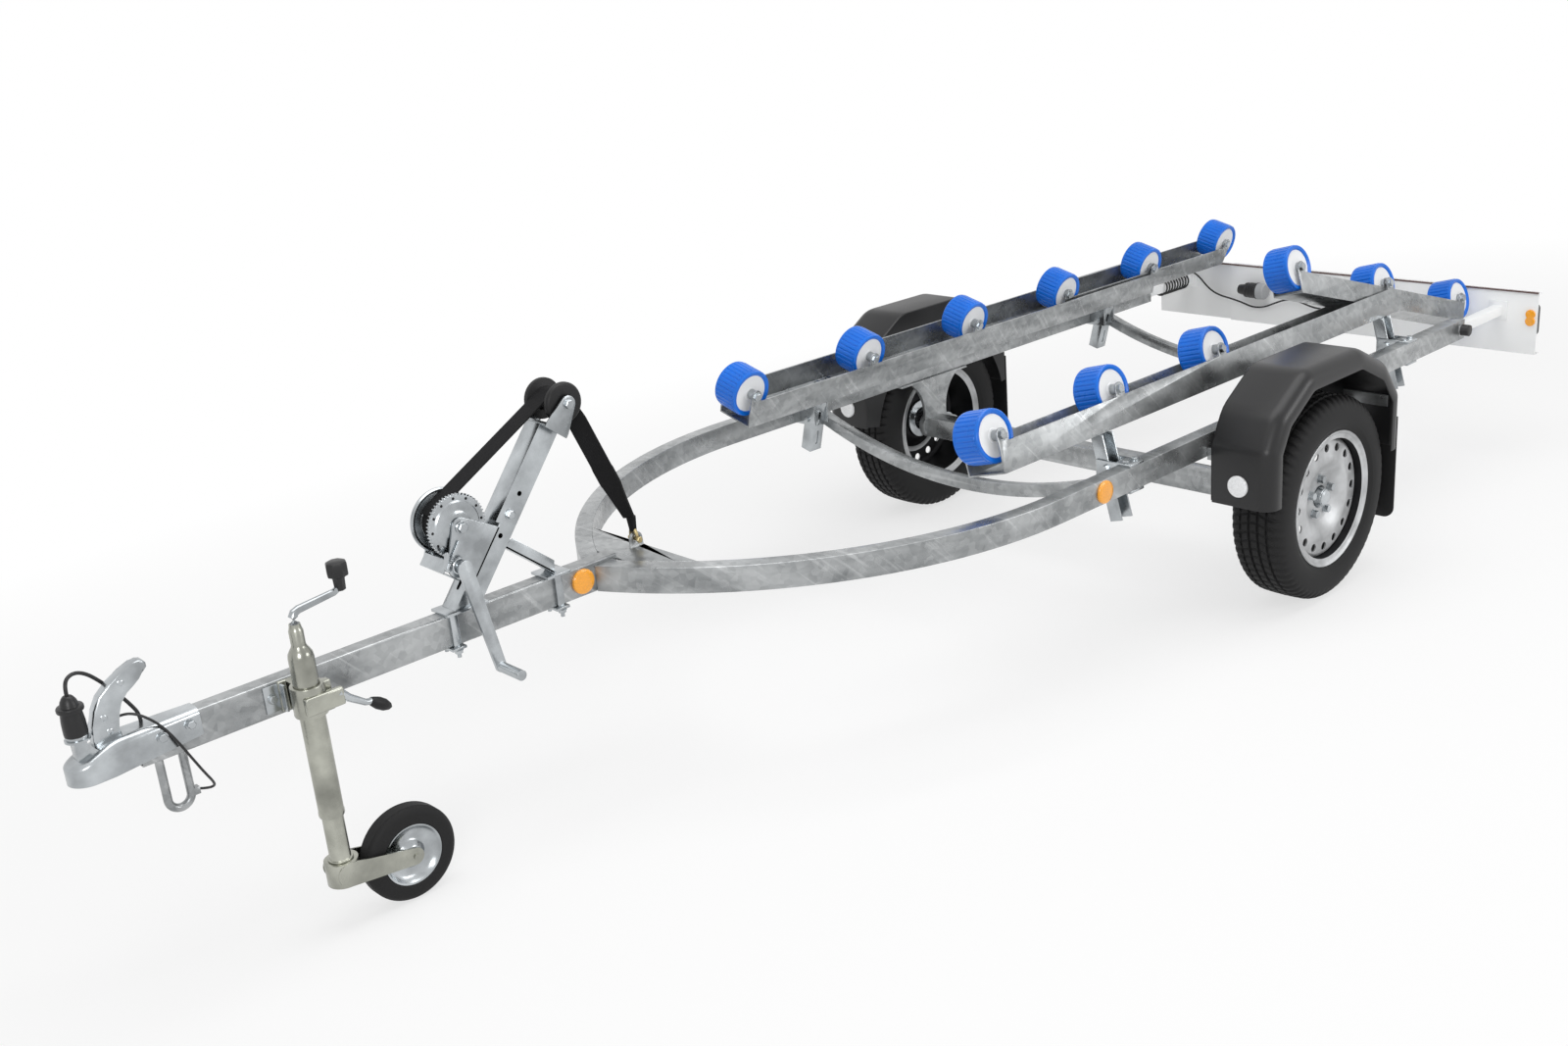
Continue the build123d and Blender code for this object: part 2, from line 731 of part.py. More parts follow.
# Jockey leg: clamp on the drawbar with its rod and grip
clamp_mid = jockey_clamp_bottom + jockey_clamp_height / 2
sleeve_radius = jockey_tube_radius + clamp_wall
with BuildPart() as jockey_clamp:
    with BuildSketch(Plane.XY.offset(jockey_clamp_bottom)):
        with Locations((jockey_x, jockey_y)):
            Circle(sleeve_radius)
        with Locations((jockey_x, (jockey_y + drawbar_width / 2) / 2)):
            Rectangle(1.4 * jockey_tube_radius, jockey_y - drawbar_width / 2)
        with Locations((jockey_x, drawbar_width / 2 + clamp_wall / 2)):
            Rectangle(clamp_plate, clamp_wall)
        with Locations((jockey_x - sleeve_radius, jockey_y + clamp_wall)):
            Rectangle(2 * clamp_wall, 2.5 * clamp_wall)
        with Locations((jockey_x, jockey_y)):
            Circle(jockey_tube_radius + seat_gap, mode=Mode.SUBTRACT)
    extrude(amount=jockey_clamp_height)
    with BuildLine(upright(1, jockey_y + clamp_wall)):
        rod = Line((jockey_x - sleeve_radius, clamp_mid + 5), (jockey_x - rod_reach, clamp_mid - rod_drop))
    with BuildSketch(Plane(origin=rod @ 0, z_dir=rod % 0)):
        RegularPolygon(rod_radius, 8)
    extrude(amount=rod.length)
    with BuildSketch(Plane(origin=rod @ 1, z_dir=rod % 0)):
        RegularPolygon(2 * rod_radius, 8)
    extrude(amount=-0.55 * rod.length)
save(jockey_clamp.part, "jockey_clamp")

# Outer tube with a rounded shoulder and neck
with BuildPart() as jockey_tube:
    with BuildSketch(upright(1, jockey_y)):
        with BuildLine():
            bore = jockey_leg_radius + running_fit
            rise = jockey_tube_radius - jockey_neck
            outside = jockey_x + jockey_tube_radius
            shoulder = Line((outside, jockey_tube_bottom), (outside, jockey_shoulder))
            round_top = JernArc(shoulder @ 1, (0, 1), rise, 90)
            Polyline(round_top @ 1, (jockey_x + jockey_neck, jockey_neck_top), (jockey_x, jockey_neck_top),
                     (jockey_x, jockey_shoulder - rise), (jockey_x + bore, jockey_shoulder - rise),
                     (jockey_x + bore, jockey_tube_bottom), shoulder @ 0)
        make_face()
    revolve(axis=Axis((jockey_x, jockey_y, 0), (0, 0, 1)))
save(jockey_tube.part, "jockey_tube")

# Crank on top: a bent bar with an upright knob
knob_x = jockey_x - crank_throw
with BuildPart() as jockey_crank:
    with BuildLine(upright(1, jockey_y)):
        FilletPolyline((jockey_x, jockey_neck_top), (jockey_x, jockey_neck_top + 22),
                       (knob_x, knob_bottom), radius=12)
    with BuildSketch(Plane.XY.offset(jockey_neck_top)):
        with Locations((jockey_x, jockey_y)):
            RegularPolygon(0.5 * jockey_neck, 8)
    sweep()
    with BuildSketch(Plane.XY.offset(knob_bottom - 0.6 * jockey_neck)):
        with Locations((knob_x, jockey_y)):
            RegularPolygon(jockey_neck, 8)
    extrude(amount=knob_height)
save(jockey_crank.part, "jockey_crank")

# Sliding leg with the collar and washer that trap the castor fork
with BuildPart() as jockey_leg:
    with BuildSketch(Plane.XY.offset(jockey_leg_bottom)):
        with Locations((jockey_x, jockey_y)):
            Circle(jockey_leg_radius)
    extrude(amount=jockey_leg_top - jockey_leg_bottom)
    for z in (jockey_leg_bottom, jockey_leg_bottom + fork_sleeve + 2 * running_fit + fork_plate):
        with BuildSketch(Plane.XY.offset(z)):
            with Locations((jockey_x, jockey_y)):
                Circle(jockey_leg_radius + fork_plate)
        extrude(amount=fork_plate)
save(jockey_leg.part, "jockey_leg")

# Castor fork: a sleeve round the leg and two straps trailing back to the wheel
jockey_hub_x = jockey_x - jockey_trail
sleeve_bottom = jockey_leg_bottom + fork_plate + running_fit
strap_inner = jockey_wheel_half + fork_gap
with BuildPart() as jockey_fork:
    with Locations((jockey_x, jockey_y, sleeve_bottom + fork_sleeve / 2)):
        Cylinder(strap_inner + fork_plate, fork_sleeve)
    for wall in (-1, 1):
        with BuildSketch(upright(1, jockey_y + wall * strap_inner)):
            with Locations((jockey_x, sleeve_bottom + fork_sleeve / 2)):
                Circle(fork_sleeve / 2)
            with Locations((jockey_hub_x, jockey_wheel_radius)):
                Circle(3 * jockey_axle)
            make_hull()
        extrude(amount=-wall * fork_plate)
    with Locations((jockey_x, jockey_y, sleeve_bottom + fork_sleeve / 2)):
        Cylinder(jockey_leg_radius + running_fit, 2 * fork_sleeve, mode=Mode.SUBTRACT)
    with BuildSketch(upright(1, jockey_y)):
        with Locations((jockey_hub_x, jockey_wheel_radius)):
            Circle(jockey_axle)
    extrude(amount=strap_inner + 2 * fork_plate, both=True)
save(jockey_fork.part, "jockey_fork")

# Jockey wheel: a solid tyre round a dished disc
with BuildPart() as jockey_wheel:
    with BuildSketch(wheel_plane(1, jockey_hub_x, jockey_y, jockey_wheel_radius)):
        with BuildLine():
            half = jockey_wheel_half
            outline = ((half, jockey_axle + stub_fit), (half, 18), (0.3 * half, 30), (0.3 * half, 62),
                       (half, 70), (half, 0.9 * jockey_wheel_radius), (0.6 * half, jockey_wheel_radius))
            Polyline(*outline, *[(-x, y) for x, y in reversed(outline)], close=True)
        make_face()
    revolve(axis=Axis((jockey_hub_x, jockey_y, jockey_wheel_radius), (0, 1, 0)))
save(jockey_wheel.part, "jockey_wheel")

# Winch post, with a cap and two ears for the bow roller at its end
lean_axis = Vector(-sin(radians(post_lean)), 0, cos(radians(post_lean)))
u_plane = Plane(origin=(post_foot_x, 0, drawbar_top), x_dir=lean_axis, z_dir=(0, -1, 0))
strap_plate = 6.0
with BuildPart() as winch_post:
    start = Vector(post_foot_x, 0, drawbar_top) - lean_axis * post_tube
    with BuildSketch(Plane(origin=start, x_dir=(0, 1, 0), z_dir=lean_axis)):
        Rectangle(post_tube, post_tube)
        Rectangle(post_tube - 2 * tube_wall, post_tube - 2 * tube_wall, mode=Mode.SUBTRACT)
    extrude(amount=post_end + post_tube)
    with Locations((post_foot_x, 0, drawbar_top + strap_plate - 2 * post_tube)):
        Box(6 * post_tube, 2 * post_tube, 4 * post_tube, mode=Mode.SUBTRACT)
    with BuildSketch(u_plane):
        with Locations((post_end + bow_ear_plate / 2, 0)):
            Rectangle(bow_ear_plate, 1.2 * post_tube)
    extrude(amount=bow_ear_half + bow_ear_plate, both=True)
    for wall in (-1, 1):
        with BuildSketch(u_plane.offset(wall * bow_ear_half)):
            with Locations((post_end, 0)):
                Rectangle(2 * bow_ear_plate, 1.2 * post_tube)
            with Locations((bow_u, -bow_n)):
                Circle(3 * bow_pin)
            make_hull()
        extrude(amount=wall * bow_ear_plate)
    with BuildSketch(u_plane):
        with Locations((bow_u, -bow_n)):
            Circle(bow_pin)
    extrude(amount=bow_ear_half + 2 * bow_ear_plate, both=True)
save(winch_post.part, "winch_post")

# Straps round the drawbar that hold the post's foot and its brace
foot_plate = post_tube / cos(radians(post_lean)) + 40
with BuildPart() as post_straps:
    for x, plate in ((post_foot_x, foot_plate), (brace_x, 2 * brace_bar)):
        with BuildSketch(Plane.YZ.offset(x - 0.75 * brace_bar)):
            with Locations((0, drawbar_mid)):
                Rectangle(drawbar_width + 2 * strap_plate, drawbar_height + 2 * strap_plate)
                Rectangle(drawbar_width, drawbar_height, mode=Mode.SUBTRACT)
        extrude(amount=1.5 * brace_bar)
        with Locations((x, 0, drawbar_top + strap_plate / 2)):
            Box(plate, post_tube + 2 * strap_plate, strap_plate)
    with BuildSketch(side_plane):
        with BuildLine():
            spread = 0.6 * brace_bar
            foot_z = drawbar_top + strap_plate
            Polyline((brace_x - spread, foot_z), (brace_x + spread, foot_z),
                     on_post(brace_u - spread, -post_tube / 2),
                     on_post(brace_u + spread, -post_tube / 2), close=True)
        make_face()
    extrude(amount=brace_bar / 2, both=True)
save(post_straps.part, "post_straps")

# Winch frame: a base on the post and two side plates that carry the drum and the crank
gear_radius = gear_module * gear_teeth / 2
pinion_radius = gear_module * pinion_teeth / 2
centre_distance = gear_radius + pinion_radius
crank_u = drum_u - centre_distance * cos(radians(mesh_turn))
crank_n = drum_n - centre_distance * sin(radians(mesh_turn))
with BuildPart() as winch_frame:
    with BuildSketch(u_plane):
        with Locations((drum_u - 10, -post_tube / 2 - frame_plate / 2)):
            Rectangle(frame_base, frame_plate)
    extrude(amount=frame_half + frame_plate, both=True)
    for wall in (-1, 1):
        with BuildSketch(u_plane.offset(wall * frame_half)):
            with Locations((drum_u, -drum_n)):
                Circle(2.25 * winch_pin)
            with Locations((crank_u, -crank_n)):
                Circle(3 * winch_pin)
            with Locations((drum_u - 10, -post_tube / 2 - frame_plate)):
                Rectangle(0.9 * frame_base, 2 * frame_plate)
            make_hull()
            with Locations((drum_u, -drum_n), (crank_u, -crank_n)):
                Circle(winch_pin + running_fit, mode=Mode.SUBTRACT)
        extrude(amount=wall * frame_plate)
save(winch_frame.part, "winch_frame")

# Drum with the wound strap, a plain flange on the right and the large gear on the left
mesh_angle = pi - radians(mesh_turn)
with BuildPart() as winch_drum:
    with BuildSketch(u_plane):
        with Locations((drum_u, -drum_n)):
            Circle(winch_pin)
    extrude(amount=frame_half + 2 * frame_plate, both=True)
    with BuildSketch(u_plane):
        with Locations((drum_u, -drum_n)):
            Circle(coil_radius)
    extrude(amount=drum_half, both=True)
    with BuildSketch(u_plane.offset(drum_half)):
        with Locations((drum_u, -drum_n)):
            Circle(drum_flange)
    extrude(amount=frame_plate)
    with BuildSketch(u_plane.offset(-drum_half)):
        with BuildLine():
            gear_first = mesh_angle + pi / gear_teeth
            Polyline(*tooth_points(drum_u, -drum_n, gear_radius, gear_teeth, gear_first), close=True)
        make_face()
    extrude(amount=-gear_width)
save(winch_drum.part, "winch_drum")

# Crank: shaft with its pinion, a flat arm and a long grip
hub_x, hub_z = on_post(crank_u, crank_n)
grip_x = hub_x - crank_length * sin(radians(crank_swing))
grip_z = hub_z - crank_length * cos(radians(crank_swing))
with BuildPart() as winch_crank:
    with BuildSketch(u_plane.offset(-crank_y)):
        with Locations((crank_u, -crank_n)):
            Circle(winch_pin)
    extrude(amount=crank_y + frame_half + 2 * frame_plate)
    with BuildSketch(u_plane.offset(-drum_half)):
        with BuildLine():
            pinion_first = mesh_angle + pi
            teeth = tooth_points(crank_u, -crank_n, pinion_radius, pinion_teeth, pinion_first)
            Polyline(*teeth, close=True)
        make_face()
    extrude(amount=-gear_width)
    with BuildSketch(upright(1, crank_y)):
        with Locations((hub_x, hub_z)):
            Circle(2 * winch_pin)
        with Locations((grip_x, grip_z)):
            Circle(1.5 * winch_pin)
        make_hull()
    extrude(amount=-crank_plate)
    with BuildSketch(upright(1, crank_y + crank_plate)):
        with Locations((grip_x, grip_z)):
            Circle(1.4 * winch_pin)
    extrude(amount=-grip_length)
save(winch_crank.part, "winch_crank")

# Bow roller: two discs with a waist between them for the strap
bow_x, bow_z = on_post(bow_u, bow_n)
disc_half = bow_ear_half - 5
with BuildPart() as bow_roller:
    with BuildSketch(wheel_plane(1, bow_x, 0, bow_z)):
        with BuildLine():
            Polyline((-disc_half, bow_pin + bow_fit), (-disc_half, 0.9 * bow_disc),
                     (-disc_half + 5, bow_disc), (-waist_half - 4, bow_disc), (-waist_half, waist_radius),
                     (waist_half, waist_radius), (waist_half + 4, bow_disc), (disc_half - 5, bow_disc),
                     (disc_half, 0.9 * bow_disc), (disc_half, bow_pin + bow_fit), close=True)
        make_face()
    revolve(axis=Axis((bow_x, 0, bow_z), (0, 1, 0)))
save(bow_roller.part, "bow_roller")

# Strap: off the drum, over the bow roller and down to the gusset eye
drum_x, drum_z = on_post(drum_u, drum_n)
bar_x = eye_x + 6
bar_z = eye_z + shackle_length
hook_x = bar_x + 4
hook_z = bar_z + shackle_bar + running_fit
inner_coil = coil_radius + strap_gap
inner_waist = waist_radius + strap_gap
outer_waist = inner_waist + strap_sheet
span = hypot(bow_x - drum_x, bow_z - drum_z)
first = atan2(bow_z - drum_z, bow_x - drum_x) - acos((inner_coil - inner_waist) / span)
drop = hypot(hook_x - bow_x, hook_z - bow_z)
last = atan2(hook_z - bow_z, hook_x - bow_x) - acos(inner_waist / drop) + 2 * pi
middle = (first + last) / 2
end_inner = (hook_x, hook_z)
end_outer = polar(hook_x, hook_z, strap_sheet, last)
run_down = last + pi / 2
with BuildPart() as strap:
    with BuildSketch(side_plane):
        with BuildLine():
            Line(polar(drum_x, drum_z, inner_coil + strap_sheet, first),
                 polar(bow_x, bow_z, outer_waist, first))
            ThreePointArc(*[polar(bow_x, bow_z, outer_waist, turn) for turn in (first, middle, last)])
            Line(polar(bow_x, bow_z, outer_waist, last), end_outer)
            Line(end_outer, end_inner)
            Line(end_inner, polar(bow_x, bow_z, inner_waist, last))
            ThreePointArc(*[polar(bow_x, bow_z, inner_waist, turn) for turn in (last, middle, first)])
            Line(polar(bow_x, bow_z, inner_waist, first), polar(drum_x, drum_z, inner_coil, first))
            Line(polar(drum_x, drum_z, inner_coil, first),
                 polar(drum_x, drum_z, inner_coil + strap_sheet, first))
        make_face()
    extrude(amount=strap_half, both=True)
    taper_plane = Plane(origin=(hook_x, 0, hook_z), x_dir=(0, 1, 0), z_dir=(cos(last), 0, sin(last)))
    for side in (-1, 1):
        with BuildSketch(taper_plane):
            with BuildLine():
                up = taper_plane.y_dir.dot(Vector(-cos(run_down), 0, -sin(run_down)))
                Polyline((side * strap_half, strap_taper * up), (side * (strap_half + 1), -up),
                         (side * shackle_half, -up), (side * shackle_half, 0), close=True)
            make_face()
        extrude(amount=3 * strap_sheet, both=True, mode=Mode.SUBTRACT)
save(strap.part, "strap")

# Shackle between the strap and the eye
with BuildPart() as strap_hook:
    for wall in (-1, 1):
        with BuildSketch(upright(1, wall * shackle_half)):
            with Locations((eye_x, eye_z), (bar_x, bar_z)):
                Circle(shackle_bar + 2)
            make_hull()
        extrude(amount=-wall * eye_plate / 2)
    with BuildSketch(side_plane):
        with Locations((bar_x, bar_z)):
            Circle(shackle_bar)
        with Locations((eye_x, eye_z)):
            Circle(eye_bore - running_fit)
    extrude(amount=shackle_half + eye_plate / 2, both=True)
save(strap_hook.part, "strap_hook")

# Light board: three lapped sheets with folded lips, the end sheets behind the middle one
with BuildPart() as light_board:
    lapped_y = seam_y - seam_lap
    board_sheets = ((-seam_y, seam_y, 0), (lapped_y, board_half, 1), (-board_half, -lapped_y, 1))
    for inner_y, outer_y, step in board_sheets:
        front = board_x - step * board_sheet
        top = board_top - step * board_sheet
        bottom = board_bottom + step * board_sheet
        with BuildSketch(upright(1, inner_y)):
            with Locations((front - board_lip / 2, (top + bottom) / 2)):
                Rectangle(board_lip, top - bottom)
            with Locations((front - board_lip / 2 - board_sheet, (top + bottom) / 2)):
                Rectangle(board_lip, top - bottom - 2 * board_sheet, mode=Mode.SUBTRACT)
        extrude(amount=inner_y - outer_y)
save(light_board.part, "light_board")

# Arms of the light board, each ending in a bracket plate on the board
end_front = board_x - board_sheet
with BuildPart() as board_arms:
    for name, side in SIDES:
        with Locations((end_front + arm_length / 2, side * rail_y, arm_z)):
            Box(arm_length, arm_size, arm_size)
            Box(arm_length, arm_size - 2 * arm_wall, arm_size - 2 * arm_wall, mode=Mode.SUBTRACT)
        with Locations((end_front + arm_wall, side * rail_y, arm_z)):
            Box(2 * arm_wall, 2 * arm_size, 2 * arm_size)
save(board_arms.part, "board_arms")

# Guides on the rail ends with their clamp knobs
with BuildPart() as arm_guides:
    for name, side in SIDES:
        with Locations((rail_rear - guide_length / 2, side * rail_y, arm_z)):
            Box(guide_length, rail_width, rail_height)
            Box(guide_length, arm_size + 2 * running_fit, arm_size + 2 * running_fit, mode=Mode.SUBTRACT)
        with BuildSketch(upright(side, rail_outer)):
            with Locations((rail_rear - guide_length / 2, arm_z)):
                RegularPolygon(0.45 * guide_length, 8)
        extrude(amount=-side * 0.65 * guide_length)
save(arm_guides.part, "arm_guides")

# Rear lamps behind the board, and a two-lobed reflector on each end of its front
lamp_back = axle_x - axle_to_tail
with BuildPart() as rear_lamps:
    for name, side in SIDES:
        with BuildSketch(Plane.YZ.offset(lamp_back)):
            with Locations((side * lamp_y, board_mid)):
                RectangleRounded(lamp_width, lamp_height, lamp_corner)
        extrude(amount=end_front - board_sheet - lamp_back)
        lobe_y = side * (board_half - lobe_inset)
        with BuildSketch(Plane.YZ.offset(end_front)):
            with Locations((lobe_y, lobe_z - lobe_pitch / 2), (lobe_y, lobe_z + lobe_pitch / 2)):
                Circle(lobe_radius)
        extrude(amount=reflector_depth)
save(rear_lamps.part, "rear_lamps")

# Round reflectors: drawbar, side rails and the fronts of the guards
with BuildPart() as reflectors:
    amber_places = ((drawbar_reflector, drawbar_width / 2, drawbar_mid),
                    (rail_reflector, rail_outer, rail_mid))
    for name, side in SIDES:
        for x, y, z in amber_places:
            with BuildSketch(upright(side, y)):
                with Locations((x, z)):
                    Circle(reflector_radius)
            extrude(amount=-side * reflector_depth)
        with BuildSketch(Plane.YZ.offset(guard_front)):
            with Locations((side * wheel_y, guard_foot + 2 * reflector_radius)):
                Circle(reflector_radius)
        extrude(amount=reflector_depth)
save(reflectors.part, "reflectors")


def cord(points, diameter, name):
    """Round cord through the points, each corner rounded as far as its two runs allow."""
    route = [Vector(*point) for point in points]
    radii = []
    for before, here, after in zip(route, route[1:], route[2:]):
        bend = radians((here - before).get_angle(after - here))
        radii.append(0.45 * min((here - before).length, (after - here).length) / tan(bend / 2))
    with BuildPart() as tube:
        with BuildLine() as path:
            FilletPolyline(*route, radius=radii)
        with BuildSketch(Plane(origin=route[0], z_dir=route[1] - route[0])):
            RegularPolygon(diameter / 2, cord_sides)
        sweep()
    print(name, "length", round(path.wires()[0].length, 1))
    save(tube.part, name)


# Cable from the parked plug back into the coupling head; points are from the plug's dock
plug_route = ((0, 0, 81), (0, 0, 95), (-8, -8, 108), (-26, -15, 111), (-47, -20, 99), (-69, -22, 73),
              (-90, -21, 44), (-107, -17, 15), (-115, -13, -3), (-115, -13, -17))
cord([(dock_x + x, y, dock_top + z) for x, y, z in plug_route], plug_cable_diameter, "plug_cable")

# Thin safety cable from the lever's back down to the clip on the loop; points are from the lever's front foot
safety_route = ((-47.75, 0, 28), (-62, 0, 29.65), (-80, 11, 26), (-99, 25, 11), (-116, 32, -12),
                (-131, 36, -42), (-150, 37, -85), (-168, 31, -125), (-181, 18, -150), (-184, 6, -161),
                (-176, 0, -163), (-162, 0, -163))
cord([(lever_front + x, y, head_top + z) for x, y, z in safety_route], safety_cable_diameter, "safety_cable")

# Lamp cable: out of its winding on the right arm and along the board's front; points are from the board
light_route = ((40, -570, 26), (25, -570, 26), (15, -557, 28), (12, -538, 23), (12, -516, 7), (12, -492, -17),
               (12, -462, -38), (13, -425, -49), (13, -385, -55), (13, -340, -65), (14, -300, -77),
               (13, -255, -73), (12, -215, -55), (13, -177, -39), (13, -135, -35), (12, -100, -45),
               (12, -65, -55), (13, -25, -57), (14, 0, -56), (12, 16, -55), (7, 24, -54), (0, 24, -54))
cord([(board_x + x, y, arm_z + z) for x, y, z in light_route], light_cable_diameter, "light_cable")

# Outer shape of the cable wound round the right arm
coil_rear = board_x + 40
with BuildPart() as cable_coil:
    with BuildSketch(Plane.YZ.offset(coil_rear)):
        with Locations((-rail_y, arm_z)):
            Circle(coil_outer)
            Circle(coil_inner, mode=Mode.SUBTRACT)
    extrude(amount=coil_length)
save(cable_coil.part, "cable_coil")

# Cable socket lying on the board's front, with a cap at its end
with BuildPart() as cable_socket:
    with BuildSketch(upright(1, socket_y)):
        with Locations((board_x + socket_radius, arm_z - 13)):
            Circle(socket_radius)
        with Locations((board_x + socket_radius / 2, arm_z - 13)):
            Rectangle(socket_radius, socket_radius)
    extrude(amount=-socket_length)
save(cable_socket.part, "cable_socket")
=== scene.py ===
# %% [markdown]
# # A roller trailer for a small watercraft
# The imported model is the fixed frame: every solid has its real size and place, in metres, and moves with its
# body. This lesson dresses that frame. Each step says what the piece is on the real trailer and why it is
# made this way.

# %% Load the frame
import json
from math import acos, atan2, cos, hypot, pi, radians, sin
from random import Random

import bmesh
import bpy
from mathutils import Matrix, Quaternion, Vector
from mathutils.bvhtree import BVHTree
from mathutils.geometry import convex_hull_2d


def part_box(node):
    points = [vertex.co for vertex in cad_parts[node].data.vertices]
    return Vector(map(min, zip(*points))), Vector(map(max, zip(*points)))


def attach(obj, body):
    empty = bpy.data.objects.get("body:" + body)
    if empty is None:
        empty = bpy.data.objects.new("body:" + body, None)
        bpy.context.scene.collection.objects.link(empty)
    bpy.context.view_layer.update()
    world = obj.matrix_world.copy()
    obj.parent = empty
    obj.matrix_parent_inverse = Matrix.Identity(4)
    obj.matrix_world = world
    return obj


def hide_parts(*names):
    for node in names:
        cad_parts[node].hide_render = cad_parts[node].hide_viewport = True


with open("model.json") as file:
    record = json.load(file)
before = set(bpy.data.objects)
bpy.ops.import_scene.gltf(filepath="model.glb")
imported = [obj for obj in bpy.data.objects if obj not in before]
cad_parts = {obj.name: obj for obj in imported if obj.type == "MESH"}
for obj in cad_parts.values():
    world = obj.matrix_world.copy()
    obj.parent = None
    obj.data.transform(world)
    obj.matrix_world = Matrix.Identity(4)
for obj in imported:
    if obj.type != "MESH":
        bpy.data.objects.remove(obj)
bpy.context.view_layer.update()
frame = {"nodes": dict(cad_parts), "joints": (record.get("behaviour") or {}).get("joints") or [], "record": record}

joints = {joint["name"]: joint for joint in frame["joints"]}
scene = bpy.context.scene
mm = 0.001

# %% [markdown]
# ## Camera
# The photograph was taken from the front left, a little above the trailer, with a slight tilt of the camera.
# The place, aim and lens were fitted to the solids' corners, so the render has the photograph's perspective.

# %% Camera at the photograph's angle
camera_place = Vector((2.956, 2.789, 1.755))
camera_aim = Vector((0.387, 0.0, 0.382))
camera_roll = radians(-4.59)
lens_data = bpy.data.cameras.new("photo_view")
lens_data.sensor_width = 36.0
lens_data.lens = 37.7
lens_data.shift_x = -0.0166
lens_data.shift_y = 0.0067
camera = bpy.data.objects.new("photo_view", lens_data)
camera.location = camera_place
camera.rotation_mode = "QUATERNION"
camera_tilt = Quaternion((0, 0, 1), camera_roll)
camera.rotation_quaternion = (camera_aim - camera_place).to_track_quat("-Z", "Y") @ camera_tilt
scene.collection.objects.link(camera)
scene.camera = camera
print("camera", round((camera_aim - camera_place).length, 2), "m from its aim")

# %% [markdown]
# ## Cords
# Three thin cables show: one from the parked plug, one safety cable and the lamp cable along the light board.
# A cable bends under its own weight, so each is one smooth NURBS line. Its points repeat the route of its
# solid, except near the safety cable's clip, where the loop hangs a few millimetres lower and further out.
# The lamp cable's spare length is wound round the right arm, so those turns are points of the same line.

# %% Routes of the cords, in mm from the piece that each one starts at
dock = Vector((2.151, 0.0, 0.547))
plug_route = [(0, 0, 81), (0, 0, 95), (-8, -8, 108), (-26, -15, 111), (-47, -20, 99), (-69, -22, 73),
              (-90, -21, 44), (-107, -17, 15), (-115, -13, -3), (-115, -13, -17)]
lever_foot = Vector((2.129, 0.0, 0.530))
safety_route = [(-47.75, 0, 28), (-62, 0, 29.65), (-80, 11, 26), (-99, 25, 11), (-116, 32, -12),
                (-131, 36, -42), (-150, 37, -85), (-168, 31, -123), (-182, 22, -148), (-189, 10, -165),
                (-178, 1, -169), (-162, 0, -163)]
board_front = Vector((-2.115, 0.0, 0.485))
light_route = [(40, -570, 26), (25, -570, 26), (15, -557, 28), (12, -538, 23), (12, -516, 7), (12, -492, -17),
               (12, -462, -38), (13, -425, -49), (13, -385, -55), (13, -340, -65), (14, -300, -77),
               (13, -255, -73), (12, -215, -55), (13, -177, -39), (13, -135, -35), (12, -100, -45),
               (12, -65, -55), (13, -25, -57), (14, 0, -56), (12, 16, -55), (7, 24, -54), (0, 24, -54)]


def placed(route, origin):
    """The route's points in metres, from the origin that they are measured from."""
    return [origin + Vector(point) * mm for point in route]


cord_sizes = {"plug_cord": 0.007, "safety_cord": 0.005, "light_cord": 0.006}


def cord_line(name, points):
    """A round cord: one open NURBS line with the route's points as its control points."""
    curve = bpy.data.curves.new(name, "CURVE")
    curve.dimensions = "3D"
    curve.bevel_depth = 1.0
    curve.bevel_resolution = 4
    curve.use_fill_caps = True
    line = curve.splines.new("NURBS")
    line.points.add(len(points) - 1)
    for knot, point in zip(line.points, points):
        knot.co = (*point, 1.0)
        knot.radius = cord_sizes[name] / 2
    line.use_endpoint_u = True
    line.order_u = 3
    line.resolution_u = 8
    piece = bpy.data.objects.new(name, curve)
    scene.collection.objects.link(piece)
    return piece


print("routes of", len(plug_route), len(safety_route), "and", len(light_route), "points")

# %% The three cords
plug_line = placed(plug_route, dock)[::-1]
plug_cord = cord_line("plug_cord", plug_line)
safety_line = placed(safety_route, lever_foot)
safety_cord = cord_line("safety_cord", safety_line)
winding_low, winding_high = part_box("cable_coil")
winding_turns = 9
turn_steps = 12
winding_radius = 0.027
winding_slack = 0.0006
first_turn = winding_low.x + 0.004
winding_length = winding_high.x - winding_low.x - 0.01
arm_line_y = (winding_low.y + winding_high.y) / 2
arm_line_z = (winding_low.z + winding_high.z) / 2
loose = Random(7)
winding = []
for step in range(1, turn_steps * winding_turns):
    turn = 2 * pi * step / turn_steps
    spread = winding_radius + loose.uniform(-winding_slack, winding_slack)
    along = first_turn + winding_length * step / (turn_steps * winding_turns)
    winding.append(Vector((along, arm_line_y + spread * sin(turn), arm_line_z + spread * cos(turn))))
light_line = placed(light_route, board_front)[::-1] + winding
light_cord = cord_line("light_cord", light_line)
for cord, body, solids in ((plug_cord, "chassis", ["plug_cable"]), (safety_cord, "chassis", ["safety_cable"]),
                           (light_cord, "light_board", ["light_cable", "cable_coil"])):
    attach(cord, body)
    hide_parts(*solids)
print("cords of", len(plug_line), len(safety_line), "and", len(light_line), "points")

# %% [markdown]
# ## Shader sums
# Surface colours here are small sums of noise patterns. Written as Python expressions they stay readable:
# a wrapped socket knows plus, minus and times, and each sum adds its Math node by itself.


